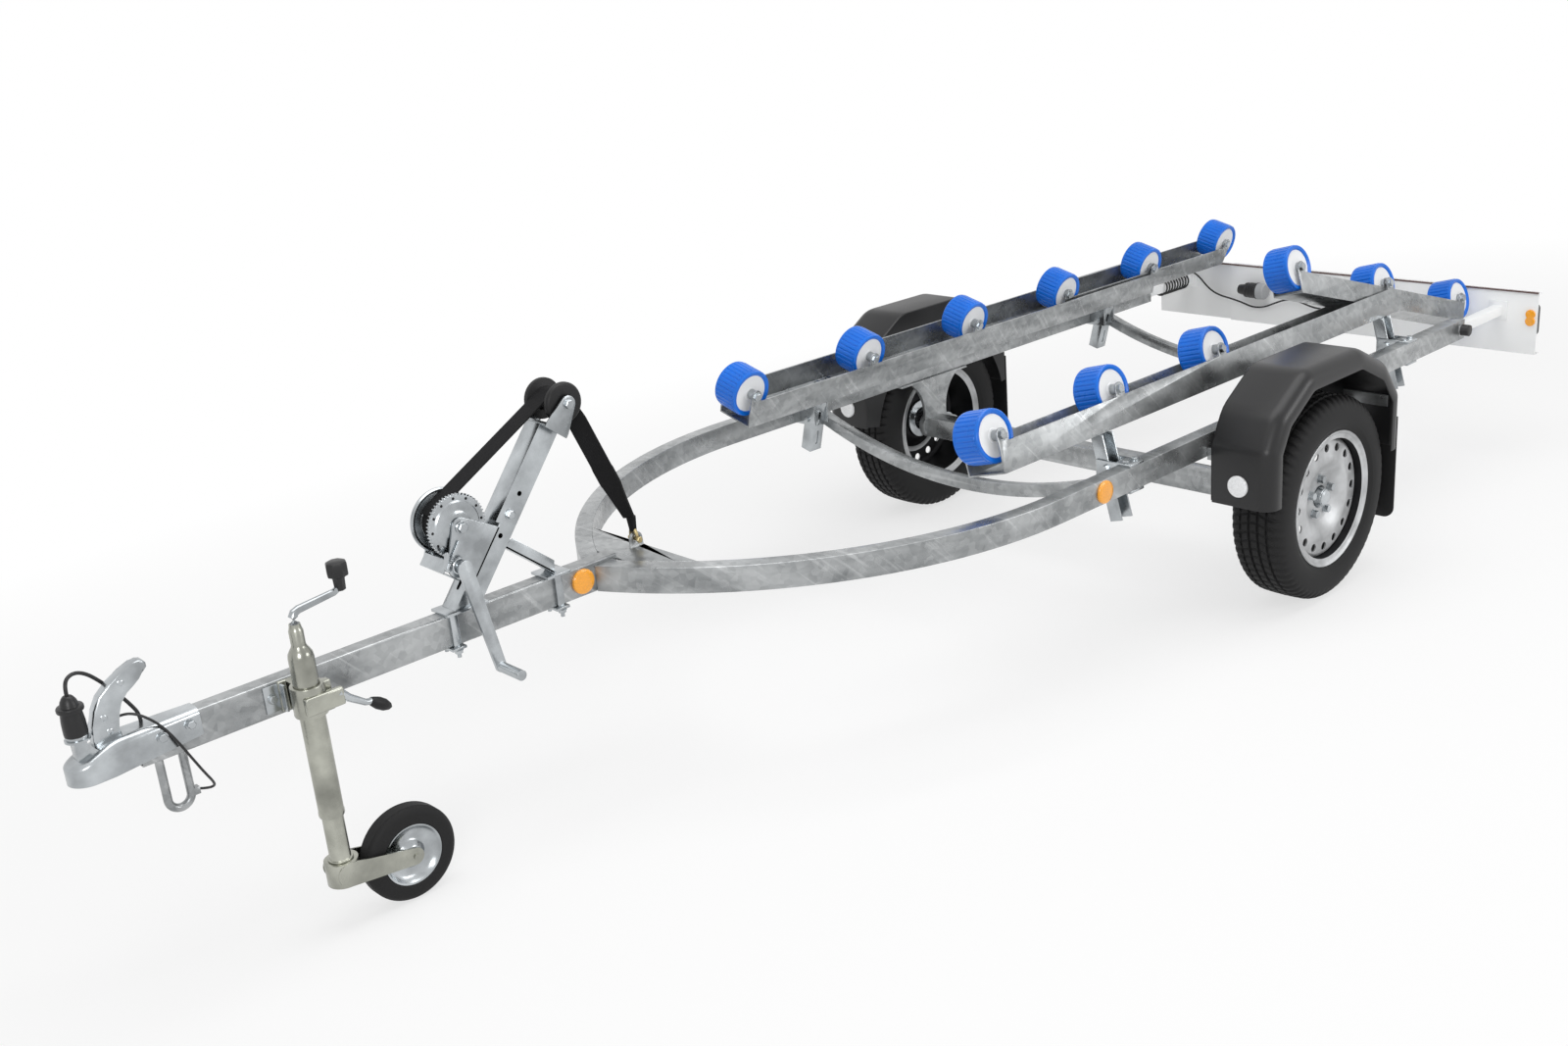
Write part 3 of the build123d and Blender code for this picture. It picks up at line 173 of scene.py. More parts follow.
# %% A socket that takes part in sums, and a finish that owns the nodes
class Wire:
    """One socket of a finish; arithmetic on it adds Math nodes."""

    def __init__(self, finish, socket):
        self.finish = finish
        self.socket = socket

    def maths(self, operation, first, second):
        """A Math node on two values or wires."""
        return self.finish.node("ShaderNodeMath", {"operation": operation}, {0: first, 1: second})

    def __add__(self, other):
        return self.maths("ADD", self, other)

    def __sub__(self, other):
        return self.maths("SUBTRACT", self, other)

    def __rsub__(self, other):
        return self.maths("SUBTRACT", other, self)

    def __mul__(self, other):
        return self.maths("MULTIPLY", self, other)

    __radd__ = __add__
    __rmul__ = __mul__


class Finish:
    """The nodes of a material or a world: its shader's constants, and the one method that adds a node."""

    def __init__(self, owner, shader="Principled BSDF", **constants):
        owner.use_nodes = True
        self.owner = owner
        self.tree = owner.node_tree
        self.shader = self.tree.nodes[shader]
        for socket, value in constants.items():
            self.shader.inputs[socket.replace("_", " ")].default_value = value

    def node(self, kind, settings=None, sockets=None, out=0):
        """Add a node with its settings, then its sockets' values or links, and give one output."""
        added = self.tree.nodes.new(kind)
        for key, value in (settings or {}).items():
            if key == "stops":
                for stop, (spot, shade) in zip(added.color_ramp.elements, value):
                    stop.position = spot
                    stop.color = (shade, shade, shade, 1)
            else:
                setattr(added, key, value)
        for key, value in (sockets or {}).items():
            if isinstance(value, Wire):
                self.tree.links.new(value.socket, added.inputs[key])
            else:
                added.inputs[key].default_value = value
        return Wire(self, added.outputs[out])

    def place(self, stretch=(1, 1, 1)):
        """Object coordinates, stretched along the axes."""
        spot = self.node("ShaderNodeTexCoord", out="Object")
        return self.node("ShaderNodeVectorMath", {"operation": "MULTIPLY"}, {0: spot, 1: stretch})

    def noise(self, scale, detail=3.0, stretch=(1, 1, 1)):
        """Soft noise from nought to one."""
        knobs = {"Vector": self.place(stretch), "Scale": scale, "Detail": detail}
        return self.node("ShaderNodeTexNoise", {}, knobs, "Fac")

    def cells(self, scale):
        """A random value for each crystal-like cell."""
        colour = self.node("ShaderNodeTexVoronoi", {}, {"Vector": self.place(), "Scale": scale}, "Color")
        return self.node("ShaderNodeSeparateColor", {}, {0: colour})

    def contrast(self, wire, low, high):
        """Nought below low, one above high, and a straight slope between."""
        return self.node("ShaderNodeValToRGB", {"stops": ((low, 0.0), (high, 1.0))}, {0: wire})

    def mix(self, factor, first, second):
        """A colour between two, by a factor."""
        pair = {0: factor, 6: first, 7: second}
        return self.node("ShaderNodeMix", {"data_type": "RGBA"}, pair, 2)

    def feed(self, socket, wire):
        """Link a wire to one of the shader's sockets."""
        self.tree.links.new(wire.socket, self.shader.inputs[socket])

    def bump(self, height, strength, distance):
        """Fine relief in the shading only."""
        knobs = {"Height": height, "Strength": strength, "Distance": distance}
        self.feed("Normal", self.node("ShaderNodeBump", {}, knobs))


def named_finish(name, **constants):
    """A finish for pieces, with a name."""
    return Finish(bpy.data.materials.new(name), **constants)


print("shader sums ready")

# %% [markdown]
# ## Galvanised steel
# Hot-dip zinc freezes in crystals: a mottle of paler and darker grey patches, with soft runs where the bath
# drained. A Voronoi pattern gives the crystals, wide noise gives the dull clouds, and a stretched noise
# gives the runs. One more noise, drawn out along a slant, gives pale slanted streaks.


# %% Galvanised steel and zinc plate
def galvanised(name, dark, pale, gloss):
    """Mottled zinc between two greys, with pale slanted streaks."""
    steel = named_finish(name, Metallic=0.8)
    crystals = steel.cells(70.0)
    clouds = steel.contrast(steel.noise(11.0, 6.0), 0.30, 0.72)
    runs = steel.contrast(steel.noise(4.0, 4.0, (1.4, 1.4, 6.0)), 0.40, 0.64)
    # Pale slanted streaks: a noise drawn out along a slant.
    slant = {"Vector": steel.place(), "Rotation": (0.0, radians(-48), 0.0), "Scale": (0.16, 0.5, 0.011)}
    lines = steel.node("ShaderNodeMapping", {"vector_type": "TEXTURE"}, slant)
    slant_noise = steel.node("ShaderNodeTexNoise", {}, {"Vector": lines, "Scale": 1.0, "Detail": 2.0}, "Fac")
    pale_streaks = steel.contrast(slant_noise, 0.58, 0.72)
    shade = 0.20 * crystals + 0.27 * clouds + 0.28 * runs + 0.25 * pale_streaks
    steel.feed("Base Color", steel.mix(shade, (*dark, 1), (*pale, 1)))
    steel.feed("Roughness", gloss + 0.20 * clouds - 0.06 * crystals)
    steel.bump(crystals + steel.noise(160.0, 2.0), 0.10, 0.0006)
    return steel.owner


def plated(name, colour, gloss, grain=220.0, metal=1.0):
    """A thin bright plating or paint with slow smears."""
    plate = named_finish(name, Metallic=metal)
    smear = plate.noise(14.0, 4.0)
    tint = tuple(0.52 * c for c in colour)
    plate.feed("Base Color", plate.mix(plate.contrast(smear, 0.3, 0.7), (*tint, 1), (*colour, 1)))
    plate.feed("Roughness", gloss + 0.18 * smear)
    plate.bump(plate.noise(grain, 2.0), 0.06, 0.0003)
    return plate.owner


galvanised_steel = galvanised("galvanised_steel", (0.19, 0.20, 0.205), (0.62, 0.635, 0.64), 0.25)
zinc_plate = plated("zinc_plate", (0.55, 0.58, 0.60), 0.13)
warm_zinc = plated("warm_zinc", (0.46, 0.465, 0.41), 0.17)
silver_paint = plated("silver_paint", (0.60, 0.61, 0.62), 0.40, 420.0, 0.6)
# A dark grey that is painted shade, inside the rims and in the winch gear's holes.
dark_steel = plated("dark_steel", (0.035, 0.035, 0.037), 0.45)
brass_plate = plated("brass_plate", (0.52, 0.42, 0.22), 0.28)
print("metal finishes: 6")

# %% [markdown]
# ## Rubber, plastic and webbing
# Black parts are never one black. Tyre rubber is dull with a bloom of grey, moulded guards have a fine grain
# and a soft shine, and webbing shows its weave. The rollers are a bright blue moulding that catches light.


# %% Rubber, plastic and webbing
def moulded(name, colour, gloss, grain, depth, cloud=0.25, coat=0.0, shine=0.5):
    """Plastic or rubber with a fine grain and slow changes of tone."""
    part = named_finish(name, Coat_Weight=coat, Coat_Roughness=0.2, Specular_IOR_Level=shine)
    tone = part.noise(11.0, 4.0)
    dim = tuple((1 - cloud) * c for c in colour)
    part.feed("Base Color", part.mix(tone, (*dim, 1), (*colour, 1)))
    part.feed("Roughness", gloss + 0.12 * tone)
    part.bump(part.noise(grain, 3.0), depth, 0.0004)
    return part.owner


tyre_rubber = moulded("tyre_rubber", (0.017, 0.017, 0.0175), 0.58, 300.0, 0.35, 0.4, shine=0.22)
black_plastic = moulded("black_plastic", (0.016, 0.016, 0.017), 0.30, 700.0, 0.18, 0.3, shine=0.38)
black_rubber = moulded("black_rubber", (0.010, 0.010, 0.0105), 0.42, 240.0, 0.2, shine=0.3)
blue_plastic = moulded("blue_plastic", (0.004, 0.185, 0.840), 0.22, 90.0, 0.05, 0.35, 0.25, 0.25)
white_plastic = moulded("white_plastic", (0.90, 0.91, 0.92), 0.4, 150.0, 0.05, 0.06)
grey_plastic = moulded("grey_plastic", (0.36, 0.37, 0.38), 0.45, 300.0, 0.1)
brown_trim = moulded("brown_trim", (0.075, 0.022, 0.016), 0.4, 300.0, 0.1)
board_paint = moulded("board_paint", (0.90, 0.91, 0.91), 0.42, 240.0, 0.12, 0.06)


def woven(name, colour, pitch):
    """Webbing: ribs across and threads along make the weave."""
    cloth = named_finish(name, Roughness=0.78, Specular_IOR_Level=0.15)
    across = {"Vector": cloth.place(), "Scale": pitch}
    rib = cloth.node("ShaderNodeTexWave", {"bands_direction": "Y"}, across, "Fac")
    along = {"Vector": cloth.place(), "Scale": 2 * pitch}
    thread = cloth.node("ShaderNodeTexWave", {"bands_direction": "Z"}, along, "Fac")
    weave = 0.6 * rib + 0.4 * thread
    pale = tuple(2.2 * c for c in colour)
    cloth.feed("Base Color", cloth.mix(weave * cloth.noise(40.0), (*colour, 1), (*pale, 1)))
    cloth.bump(weave, 0.5, 0.0006)
    return cloth.owner


webbing = woven("webbing", (0.0075, 0.0075, 0.008), 90.0)


def lens(name, colour):
    """Moulded lens: a prism pattern under a glossy skin."""
    cap = named_finish(name, Roughness=0.12, Coat_Weight=0.8, Coat_Roughness=0.06)
    prisms = cap.cells(420.0)
    dim = tuple(0.84 * c for c in colour)
    cap.feed("Base Color", cap.mix(prisms, (*dim, 1), (*colour, 1)))
    cap.bump(prisms, 0.25, 0.0004)
    return cap.owner


amber_lens = lens("amber_lens", (1.0, 0.40, 0.010))
red_lens = lens("red_lens", (0.62, 0.016, 0.012))
clear_lens = lens("clear_lens", (0.90, 0.91, 0.92))
print("plastic, rubber and lens finishes: 12")

# %% [markdown]
# ## Pieces with eased edges
# A real edge is never razor sharp: a folded sheet or a sawn tube has a small round that catches the light.
# So each solid is shown by a copy of itself whose sharp edges are bevelled by about a millimetre.
# A copy may carry more than one finish, chosen for each face by a short test of the face's middle.

# %% Adding a piece, and easing a solid's edges
body_of = {node: body for body, nodes in frame["record"]["behaviour"]["bodies"].items() for node in nodes}


def add_piece(name, form, body, finishes, solids=(), smooth=30.0):
    """Turn a bmesh into a piece that rides on a body and may stand for solids."""
    bmesh.ops.recalc_face_normals(form, faces=form.faces)
    mesh = bpy.data.meshes.new(name)
    form.to_mesh(mesh)
    form.free()
    for finish in finishes:
        mesh.materials.append(finish)
    mesh.shade_smooth()
    mesh.set_sharp_from_angle(angle=radians(smooth))
    piece = bpy.data.objects.new(name, mesh)
    scene.collection.objects.link(piece)
    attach(piece, body)
    if solids:
        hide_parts(*solids)


def dress(node, form, finishes, smooth=30.0):
    """Add a piece that stands for one solid, with the solid's own body."""
    add_piece(node + "_dressed", form, body_of[node], finishes, [node], smooth)


def solid_form(node):
    """The solid's mesh as welded, flat faces."""
    form = bmesh.new()
    form.from_mesh(frame["nodes"][node].data)
    bmesh.ops.remove_doubles(form, verts=form.verts, dist=1e-6)
    bmesh.ops.dissolve_limit(form, angle_limit=radians(0.5), verts=form.verts, edges=form.edges)
    return form


def bevel(form, edges, ease, steps=2):
    """Round some edges by so many mm."""
    bmesh.ops.bevel(form, geom=edges, offset=ease * mm, segments=steps, profile=0.5, affect="EDGES",
                    clamp_overlap=True)


def ease_edges(form, ease):
    """Bevel the sharp edges by so many mm, in more steps where the round is large."""
    sharp_turn, large_round = radians(33), 3
    sharp = [edge for edge in form.edges if edge.is_manifold and edge.calc_face_angle() > sharp_turn]
    bevel(form, sharp, ease, 2 if ease < large_round else 4)


def eased(node, finish, ease=1.0, zones=()):
    """A copy of a solid with its sharp edges bevelled. Zones pair a finish with a test of a face's middle."""
    form = solid_form(node)
    ease_edges(form, ease)
    for face in form.faces:
        middle = face.calc_center_median()
        for number, (other, test) in enumerate(zones, 1):
            if test(middle):
                face.material_index = number
    dress(node, form, [finish] + [zone[0] for zone in zones], 35.0)


# %% [markdown]
# ## Frame, coupling and winch steel
# The drawbar, rails, bows and bunks are galvanised after welding, so one finish covers them all. Bought-in
# parts, such as the winch, its post and the coupling, are zinc plated: brighter and smoother.

# %% Eased copies of the steel solids
for node, ease in (("drawbar", 1.5), ("side_rails", 3.0), ("gusset", 1.0), ("cross_members", 2.0),
                   ("axle_beam", 1.5), ("trailing_arms", 2.0), ("guard_stays", 0.8), ("bunk_channels", 1.2),
                   ("rocker_left", 1.0), ("rocker_right", 1.0)):
    eased(node, galvanised_steel, ease)
for node, ease in (("post_cheeks", 1.0), ("roller_pins", 0.8), ("hub_left", 1.0), ("hub_right", 1.0)):
    eased(node, zinc_plate, ease)
for node, ease in (("jockey_leg", 0.8), ("jockey_fork", 1.5)):
    eased(node, warm_zinc, ease)
print("steel solids dressed")

# %% Eased copies of the other solids, some in two finishes
eased("bow_roller", black_rubber, 2.0)
eased("mud_flaps", black_rubber, 1.0)
eased("board_arms", board_paint, 0.8)
guide_knob_y = 0.5915
eased("arm_guides", galvanised_steel, 1.5, [(black_plastic, lambda spot: abs(spot.y) > guide_knob_y)])
drum_low, drum_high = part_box("winch_drum")
drum_mid = (drum_low + drum_high) / 2
coil_reach = 0.0452
coil_half = 0.0255


def on_coil(spot):
    """True on the strap that is wound on the drum."""
    return abs(spot.y) < coil_half and hypot(spot.x - drum_mid.x, spot.z - drum_mid.z) < coil_reach


eased("winch_drum", zinc_plate, 0.4, [(webbing, on_coil)])
lamp_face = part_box("rear_lamps")[0].x + 0.012
board_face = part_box("light_board")[1].x - 0.0035
flasher_y = 0.60
lamp_zones = [(red_lens, lambda spot: spot.x < lamp_face and abs(spot.y) < flasher_y),
              (amber_lens, lambda spot: spot.x < lamp_face and abs(spot.y) >= flasher_y),
              (amber_lens, lambda spot: spot.x > board_face)]
eased("rear_lamps", black_plastic, 1.0, lamp_zones)
print("other solids dressed")

# %% [markdown]
# ## Turned parts
# Tyres, rims, rollers and the jockey wheel are round about an axle, so each is a half section spun about the
# joint's axis. A tread or a row of ribs is a change of radius round the turn, so the spin takes a function
# of the angle.


# %% Spinning a half section
on_axis = 0.01


def aimed(spot, direction, up="Z"):
    """A place at a spot, with its local x along a direction."""
    return Matrix.Translation(spot) @ direction.to_track_quat("X", up).to_matrix().to_4x4()


def standing(spot):
    """A place at a spot, with its local x pointing up."""
    return Matrix.Translation(spot) @ Matrix.Rotation(radians(-90), 4, "Y")


def on_joint(name, outward=1.0):
    """A place at a joint, with its local x along the joint's axis."""
    joint = joints[name]
    return aimed(Vector(joint["pos_m"]), Vector(joint["axis"]).normalized() * outward)


def spin(form, place, section, turns, closed=True, material=0, relief=None):
    """Spin a half section of (along, radius) in mm; a section that isn't closed gets a flat cap at each end.

    relief(step, number) gives a change of radius and of angle.
    """
    rings = []
    for step in range(turns):
        ring = []
        for number, (along, radius) in enumerate(section):
            rise, lead = relief(step, number) if relief else (0.0, 0.0)
            angle = 2 * pi * step / turns + lead
            reach = (radius + rise) * mm
            ring.append(form.verts.new(place @ Vector((along * mm, reach * cos(angle), reach * sin(angle)))))
        rings.append(ring)
    last = len(section) if closed else len(section) - 1
    for step in range(turns):
        here, there = rings[step], rings[(step + 1) % turns]
        for number in range(last):
            after = (number + 1) % len(section)
            face = form.faces.new((here[number], there[number], there[after], here[after]))
            face.material_index = material
    ends = () if closed else (0, -1)
    for end in ends:
        form.faces.new([ring[end] for ring in rings]).material_index = material


def mirrored(half):
    """A section's right half followed by its mirror image."""
    return half + [(-along, radius) for along, radius in reversed(half)]


print("joints to spin about:", len(joints))

# %% [markdown]
# ## Tyres
# A road tyre has a flat tread with straight grooves round it, shoulder blocks cut by slots, and a bulging
# sidewall with a fine ridge above the rim. Each block pitch takes five steps of the spin, and the slots lean
# with the distance from the middle, which gives the arrow pattern.

# %% Tyres with tread
side_wall = [(60, 168), (60, 173), (64, 179), (70, 187), (74.5, 198), (75.6, 200), (75.8, 203), (76.6, 206),
             (77.5, 219), (76.8, 232), (75.2, 243), (72.5, 252), (68.5, 259.5), (63, 265.5), (57, 269.5)]
tread = [(52, 271.4), (41.5, 272.4), (40, 266.5), (34.5, 266.5), (33, 272.8), (17, 273.3), (15.5, 267),
         (9.5, 267), (8, 273.5)]
tyre_section = mirrored(side_wall + tread)
pitches = 68
pitch_steps = 5
lean = 0.0011
lean_radius = 240
shoulder_radius = 250
shoulder_along = 41
shoulder_slot = 4.5
crown_radius = 272.5
crown_along = 34
crown_slot = 3.5


def tread_relief(step, number):
    """Slots in the shoulders and the crown, which lean with the distance from the middle."""
    along, radius = tyre_section[number]
    phase = step % pitch_steps
    lead = lean * abs(along) if radius > lean_radius else 0.0
    if shoulder_radius < radius < crown_radius and abs(along) > shoulder_along and phase >= 3:
        return -min(shoulder_slot, 0.33 * (radius - shoulder_radius + 2)), lead
    if radius > crown_radius and phase == 4 and abs(along) < crown_along:
        return -crown_slot, lead
    return 0.0, lead


for name, outward in (("left", 1.0), ("right", -1.0)):
    form = bmesh.new()
    spin(form, on_joint("wheel_" + name + "_spin", outward), tyre_section, pitches * pitch_steps,
         relief=tread_relief)
    add_piece("tyre_tread_" + name, form, "wheel_" + name, [tyre_rubber], ["tyre_" + name], 28)
print("tyres:", pitches, "block pitches round")

# %% [markdown]
# ## Rims
# The rim is a rolled barrel with a pressed disc welded inside. The disc has a ring of round vents near its
# edge, so sixteen cylinders are cut through a spun disc. Wheel bolts and a bright cap sit in the middle.

# %% Rims with vents, bolts and caps
barrel = mirrored([(60, 165), (60, 173), (62, 178), (66, 182), (69, 182.5), (70.5, 180.5), (69, 177),
                   (64.5, 173), (63.5, 161.5)])
disc_front = [(38, 162), (43, 158), (46, 153), (47, 149), (47.5, 121), (49.5, 114), (51, 106), (50, 98),
              (45, 88), (38, 77), (32.5, 69), (30, 63), (30, 31)]
disc_sheet = 4
disc_section = disc_front + [(along - disc_sheet, radius) for along, radius in reversed(disc_front)]
vents = 16
vent_circle = 136.0
vent_radius = 11.5
bolts_a_wheel = 5
bolt_circle = 49.0
rim_shade_from, rim_shade_to, rim_shade_disc_limit = -0.060, 0.020, 0.046


def cut(piece_form, cutter_form):
    """Take one closed form out of another with an exact boolean."""
    meshes = [bpy.data.meshes.new("cut_body"), bpy.data.meshes.new("cut_tool")]
    for mesh, form in zip(meshes, (piece_form, cutter_form)):
        form.to_mesh(mesh)
        form.free()
    body, tool = [bpy.data.objects.new(mesh.name, mesh) for mesh in meshes]
    scene.collection.objects.link(body)
    scene.collection.objects.link(tool)
    knife = body.modifiers.new("cut", "BOOLEAN")
    knife.object = tool
    knife.operation = "DIFFERENCE"
    graph = bpy.context.evaluated_depsgraph_get()
    result = bmesh.new()
    result.from_mesh(body.evaluated_get(graph).to_mesh())
    bpy.data.objects.remove(body)
    bpy.data.objects.remove(tool)
    return result


def hex_bolt(form, place, radius, height, washer=0.0):
    """A hexagon head with a chamfered top on a round washer, standing on a place's local x."""
    if washer:
        spin(form, place, [(0, on_axis), (0, washer), (1.6, washer), (1.6, on_axis)], 20)
    flats = [(1.5, radius), (height - 1.0, radius), (height, 0.86 * radius), (height, on_axis)]
    spin(form, place, flats, 6, closed=False)


for name, outward in (("left", 1.0), ("right", -1.0)):
    place = on_joint("wheel_" + name + "_spin", outward)
    form = bmesh.new()
    spin(form, place, disc_section, 96)
    bmesh.ops.recalc_face_normals(form, faces=form.faces)
    tool = bmesh.new()
    for vent in range(vents):
        turn = 2 * pi * vent / vents
        centre = Matrix.Translation(Vector((0, vent_circle * mm * cos(turn), vent_circle * mm * sin(turn))))
        spin(tool, place @ centre, [(20, on_axis), (20, vent_radius), (70, vent_radius), (70, on_axis)], 20)
    bmesh.ops.recalc_face_normals(tool, faces=tool.faces)
    form = cut(form, tool)
    spin(form, place, barrel, 120)
    # Painted shade: the inner part of the barrel and the back of the disc are a dark grey for the shade inside the
    # wheel.
    for face in form.faces:
        spot = place.inverted() @ face.calc_center_median()
        inward = (place.to_3x3().inverted() @ face.normal).x < -0.3
        if rim_shade_from < spot.x < rim_shade_to or (spot.x < rim_shade_disc_limit and inward):
            face.material_index = 1
    add_piece("rim_dressed_" + name, form, "wheel_" + name, [silver_paint, dark_steel],
              ["rim_" + name], 30)
    form = bmesh.new()
    spin(form, place, [(29, 24.5), (36, 24.5), (38, 23.5), (48, 22), (51.5, 18), (52.6, 10), (53, on_axis)],
         48, closed=False)
    for bolt in range(bolts_a_wheel):
        turn = 2 * pi * (bolt + 0.25) / bolts_a_wheel
        spot = Vector((30, bolt_circle * cos(turn), bolt_circle * sin(turn))) * mm
        hex_bolt(form, place @ Matrix.Translation(spot), 10.5, 15.0, 13.0)
    add_piece("wheel_bolts_" + name, form, "wheel_" + name, [zinc_plate])
print("rims with", vents, "vents each")

# %% [markdown]
# ## Rollers
# Each roller is a blue moulding with fine ribs across its tread and a smooth band at both ends. A pale bush
# disc is set in each end face round the steel pin, and a short steel tube keeps the roller in the middle of
# its channel.

# %% Ribbed rollers
ribs = 32
rib_steps = 4
roller_section = mirrored([(33.5, 50), (36.5, 52), (38.5, 57), (38.5, 60.5), (36.5, 62.6), (31, 63),
                           (30, 64.0)])
bush_section = mirrored([(35.0, 8.4), (35.0, 17), (33.8, 18), (33.8, 50.4)])
rib_radius = 63.5
rib_groove = 2.4


def rib_relief(step, number):
    """A groove after every rib of the roller's tread."""
    grooved = roller_section[number][1] > rib_radius and step % rib_steps == rib_steps - 1
    return (-rib_groove if grooved else 0.0), 0.0


for side in ("left", "right"):
    for number in range(1, 7):
        name = "roller_" + side + "_" + str(number)
        place = on_joint(name + "_spin")
        form = bmesh.new()
        spin(form, place, roller_section, ribs * rib_steps, relief=rib_relief)
        spin(form, place, bush_section, 48, material=1)
        add_piece(name + "_ribbed", form, name, [blue_plastic, white_plastic], [name], 30)
print("rollers: 12")

# %% [markdown]
# ## Jockey leg
# The small wheel is a solid rubber tyre on two pressed steel dishes, which shine like new zinc. The crank is
# a bent rod that ends in a faceted knob on a neck. The outer tube has a collar and a narrow top. The clamp
# keeps the solid's bracket and gets a housing, from which the handle grows: a bent rod with a drop-shaped
# rubber end. Round parts are spun. A rod is a row of rings through points, because that keeps its thickness
# in the bends.

# %% Jockey wheel
place = on_joint("jockey_wheel_spin")
small_tyre = [(20, 63), (23, 66), (23.8, 70), (23.2, 73), (23.9, 76), (23.2, 79), (23.8, 83), (22.5, 91),
              (18, 97), (13.5, 99.4), (12.5, 98), (11, 99.8)]
small_dish = [(23.5, 6.6), (23.5, 14), (21, 20), (13, 27), (10, 33), (10, 44), (13, 52), (19, 58), (22, 60.5),
              (23, 64), (20, 64.5)]
form = bmesh.new()
spin(form, place, mirrored(small_tyre), 96)
spin(form, place, mirrored(small_dish), 72, material=1)
dress("jockey_wheel", form, [tyre_rubber, zinc_plate], 28)
print("jockey wheel dressed")


# %% Jockey crank with its knob
def rod(form, points, radius, sides=16, material=0):
    """A round bar through points, with a ring square to the mean of the runs at each point."""
    rings = []
    for number, point in enumerate(points):
        before = points[max(number - 1, 0)]
        after = points[min(number + 1, len(points) - 1)]
        turn = (after - before).to_track_quat("X", "Z").to_matrix()
        reach = radius[number] if isinstance(radius, (list, tuple)) else radius
        angles = [2 * pi * k / sides for k in range(sides)]
        rings.append([form.verts.new(point + turn @ Vector((0, reach * cos(angle), reach * sin(angle))))
                      for angle in angles])
    faces = [form.faces.new(rings[0]), form.faces.new(rings[-1][::-1])]
    for here, there in zip(rings, rings[1:]):
        for k in range(sides):
            faces.append(form.faces.new((here[k], there[k], there[(k + 1) % sides], here[(k + 1) % sides])))
    for face in faces:
        face.material_index = material


crank_low, crank_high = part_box("jockey_crank")
tube_low, tube_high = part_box("jockey_tube")
leg_x = (tube_low.x + tube_high.x) / 2
leg_y = (tube_low.y + tube_high.y) / 2
knob = Vector((crank_low.x + 0.015, leg_y, crank_high.z))
neck = Vector((leg_x, leg_y, tube_high.z))
bend = [neck + Vector((x, 0, z)) for x, z in ((0, 0), (0, 0.014), (-0.003, 0.020), (-0.012, 0.024))]
bend += [knob + Vector((x, 0, z)) for x, z in ((0.014, -0.058), (0.004, -0.053), (0, -0.045))]
knob_section = [(-58, 8.5), (-56, 11), (-34, 12), (-32, 13), (-29, 19.5), (-26, 20.5), (-5, 20.5), (-2, 19),
                (0, 15), (0, on_axis)]
knob_sides = 8
form = bmesh.new()
rod(form, bend, [0.0092, 0.0092, 0.0086, 0.0080, 0.0068, 0.0068, 0.0068])
spin(form, standing(knob), knob_section, knob_sides, closed=False, material=1)
dress("jockey_crank", form, [zinc_plate, black_plastic])
print("jockey crank: a rod through", len(bend), "points and a knob of", knob_sides, "sides")

# %% Jockey tube
bore_top, bore = 579, 21.3
tube_section = [(247, bore), (247, 24), (250, 24.8), (256, 24.8), (259, 24), (578, 24), (586, 22.8),
                (594, 18.5), (599, 15), (604, 13.5), (632, 13.5), (634, 12.5), (640, 11), (645, 10.5),
                (645, on_axis), (bore_top, on_axis), (bore_top, bore)]
form = bmesh.new()
spin(form, standing(Vector((leg_x, leg_y, 0.0))), tube_section, 48)
dress("jockey_tube", form, [warm_zinc])
print("jockey tube: bored to", bore_top, "mm above the ground")


# %% Jockey clamp with its housing and handle
def block(form, low, high, ease=1.0, material=0):
    """A box between two corners in metres, with eased edges."""
    made = bmesh.ops.create_cube(form, size=1.0)["verts"]
    middle, size = (low + high) / 2, high - low
    for vert in made:
        vert.co = middle + Vector((vert.co.x * size.x, vert.co.y * size.y, vert.co.z * size.z))
    edges = list({edge for vert in made for edge in vert.link_edges})
    for face in {face for vert in made for face in vert.link_faces}:
        face.material_index = material
    bevel(form, edges, ease)


clamp_form = solid_form("jockey_clamp")
handle_split = leg_x - 0.052
plain_handle = [vert for vert in clamp_form.verts if vert.co.x < handle_split]
bmesh.ops.delete(clamp_form, geom=plain_handle, context="VERTS")
bmesh.ops.holes_fill(clamp_form, edges=[edge for edge in clamp_form.edges if edge.is_boundary])
ease_edges(clamp_form, 2.0)
handle_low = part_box("jockey_clamp")[0]
housing_low = Vector((leg_x - 0.054, leg_y + 0.023, 0.472))
housing_high = Vector((leg_x + 0.024, leg_y + 0.038, 0.508))
block(clamp_form, housing_low, housing_high, 3.5)
root = Vector((housing_low.x + 0.010, leg_y + 0.029, housing_high.z - 0.010))
tip = Vector((handle_low.x + 0.006, leg_y + 0.020, handle_low.z + 0.012))
sag = Vector((0, 0, -0.006))
rod(clamp_form, [root, root.lerp(tip, 0.2) + sag, root.lerp(tip, 0.5) + sag, root.lerp(tip, 0.62)],
    [0.0100, 0.0080, 0.0066, 0.0068], material=2)
rod(clamp_form, [root.lerp(tip, share) for share in (0.60, 0.64, 0.74, 0.86, 0.95, 1.0)],
    [0.0075, 0.0095, 0.0125, 0.0120, 0.0078, 0.0020], material=1)
dress("jockey_clamp", clamp_form, [warm_zinc, black_rubber, zinc_plate])
print("jockey clamp with its housing and handle")

# %% [markdown]
# ## Winch
# A hand winch: the crank's small pinion drives the large gear on the strap drum, between two side plates on
# the post. The post leans back, so its parts are placed by u up the post, n out from it and y across. Each
# plate's outline is the hull round its bosses and its foot, as on the real pressing.

# %% The post's own axes, and flat plates
post_foot = Vector((1.372, 0.0, 0.525))
post_lean = radians(38.5)
drum_spot = Vector((145.0, 112.0))
crank_spot = Vector((73.8, 77.3))


def on_post(u, n, y=0.0):
    """A point by mm up the post, out from it and across."""
    x = -u * sin(post_lean) + n * cos(post_lean)
    z = u * cos(post_lean) + n * sin(post_lean)
    return post_foot + Vector((x, y, z)) * mm


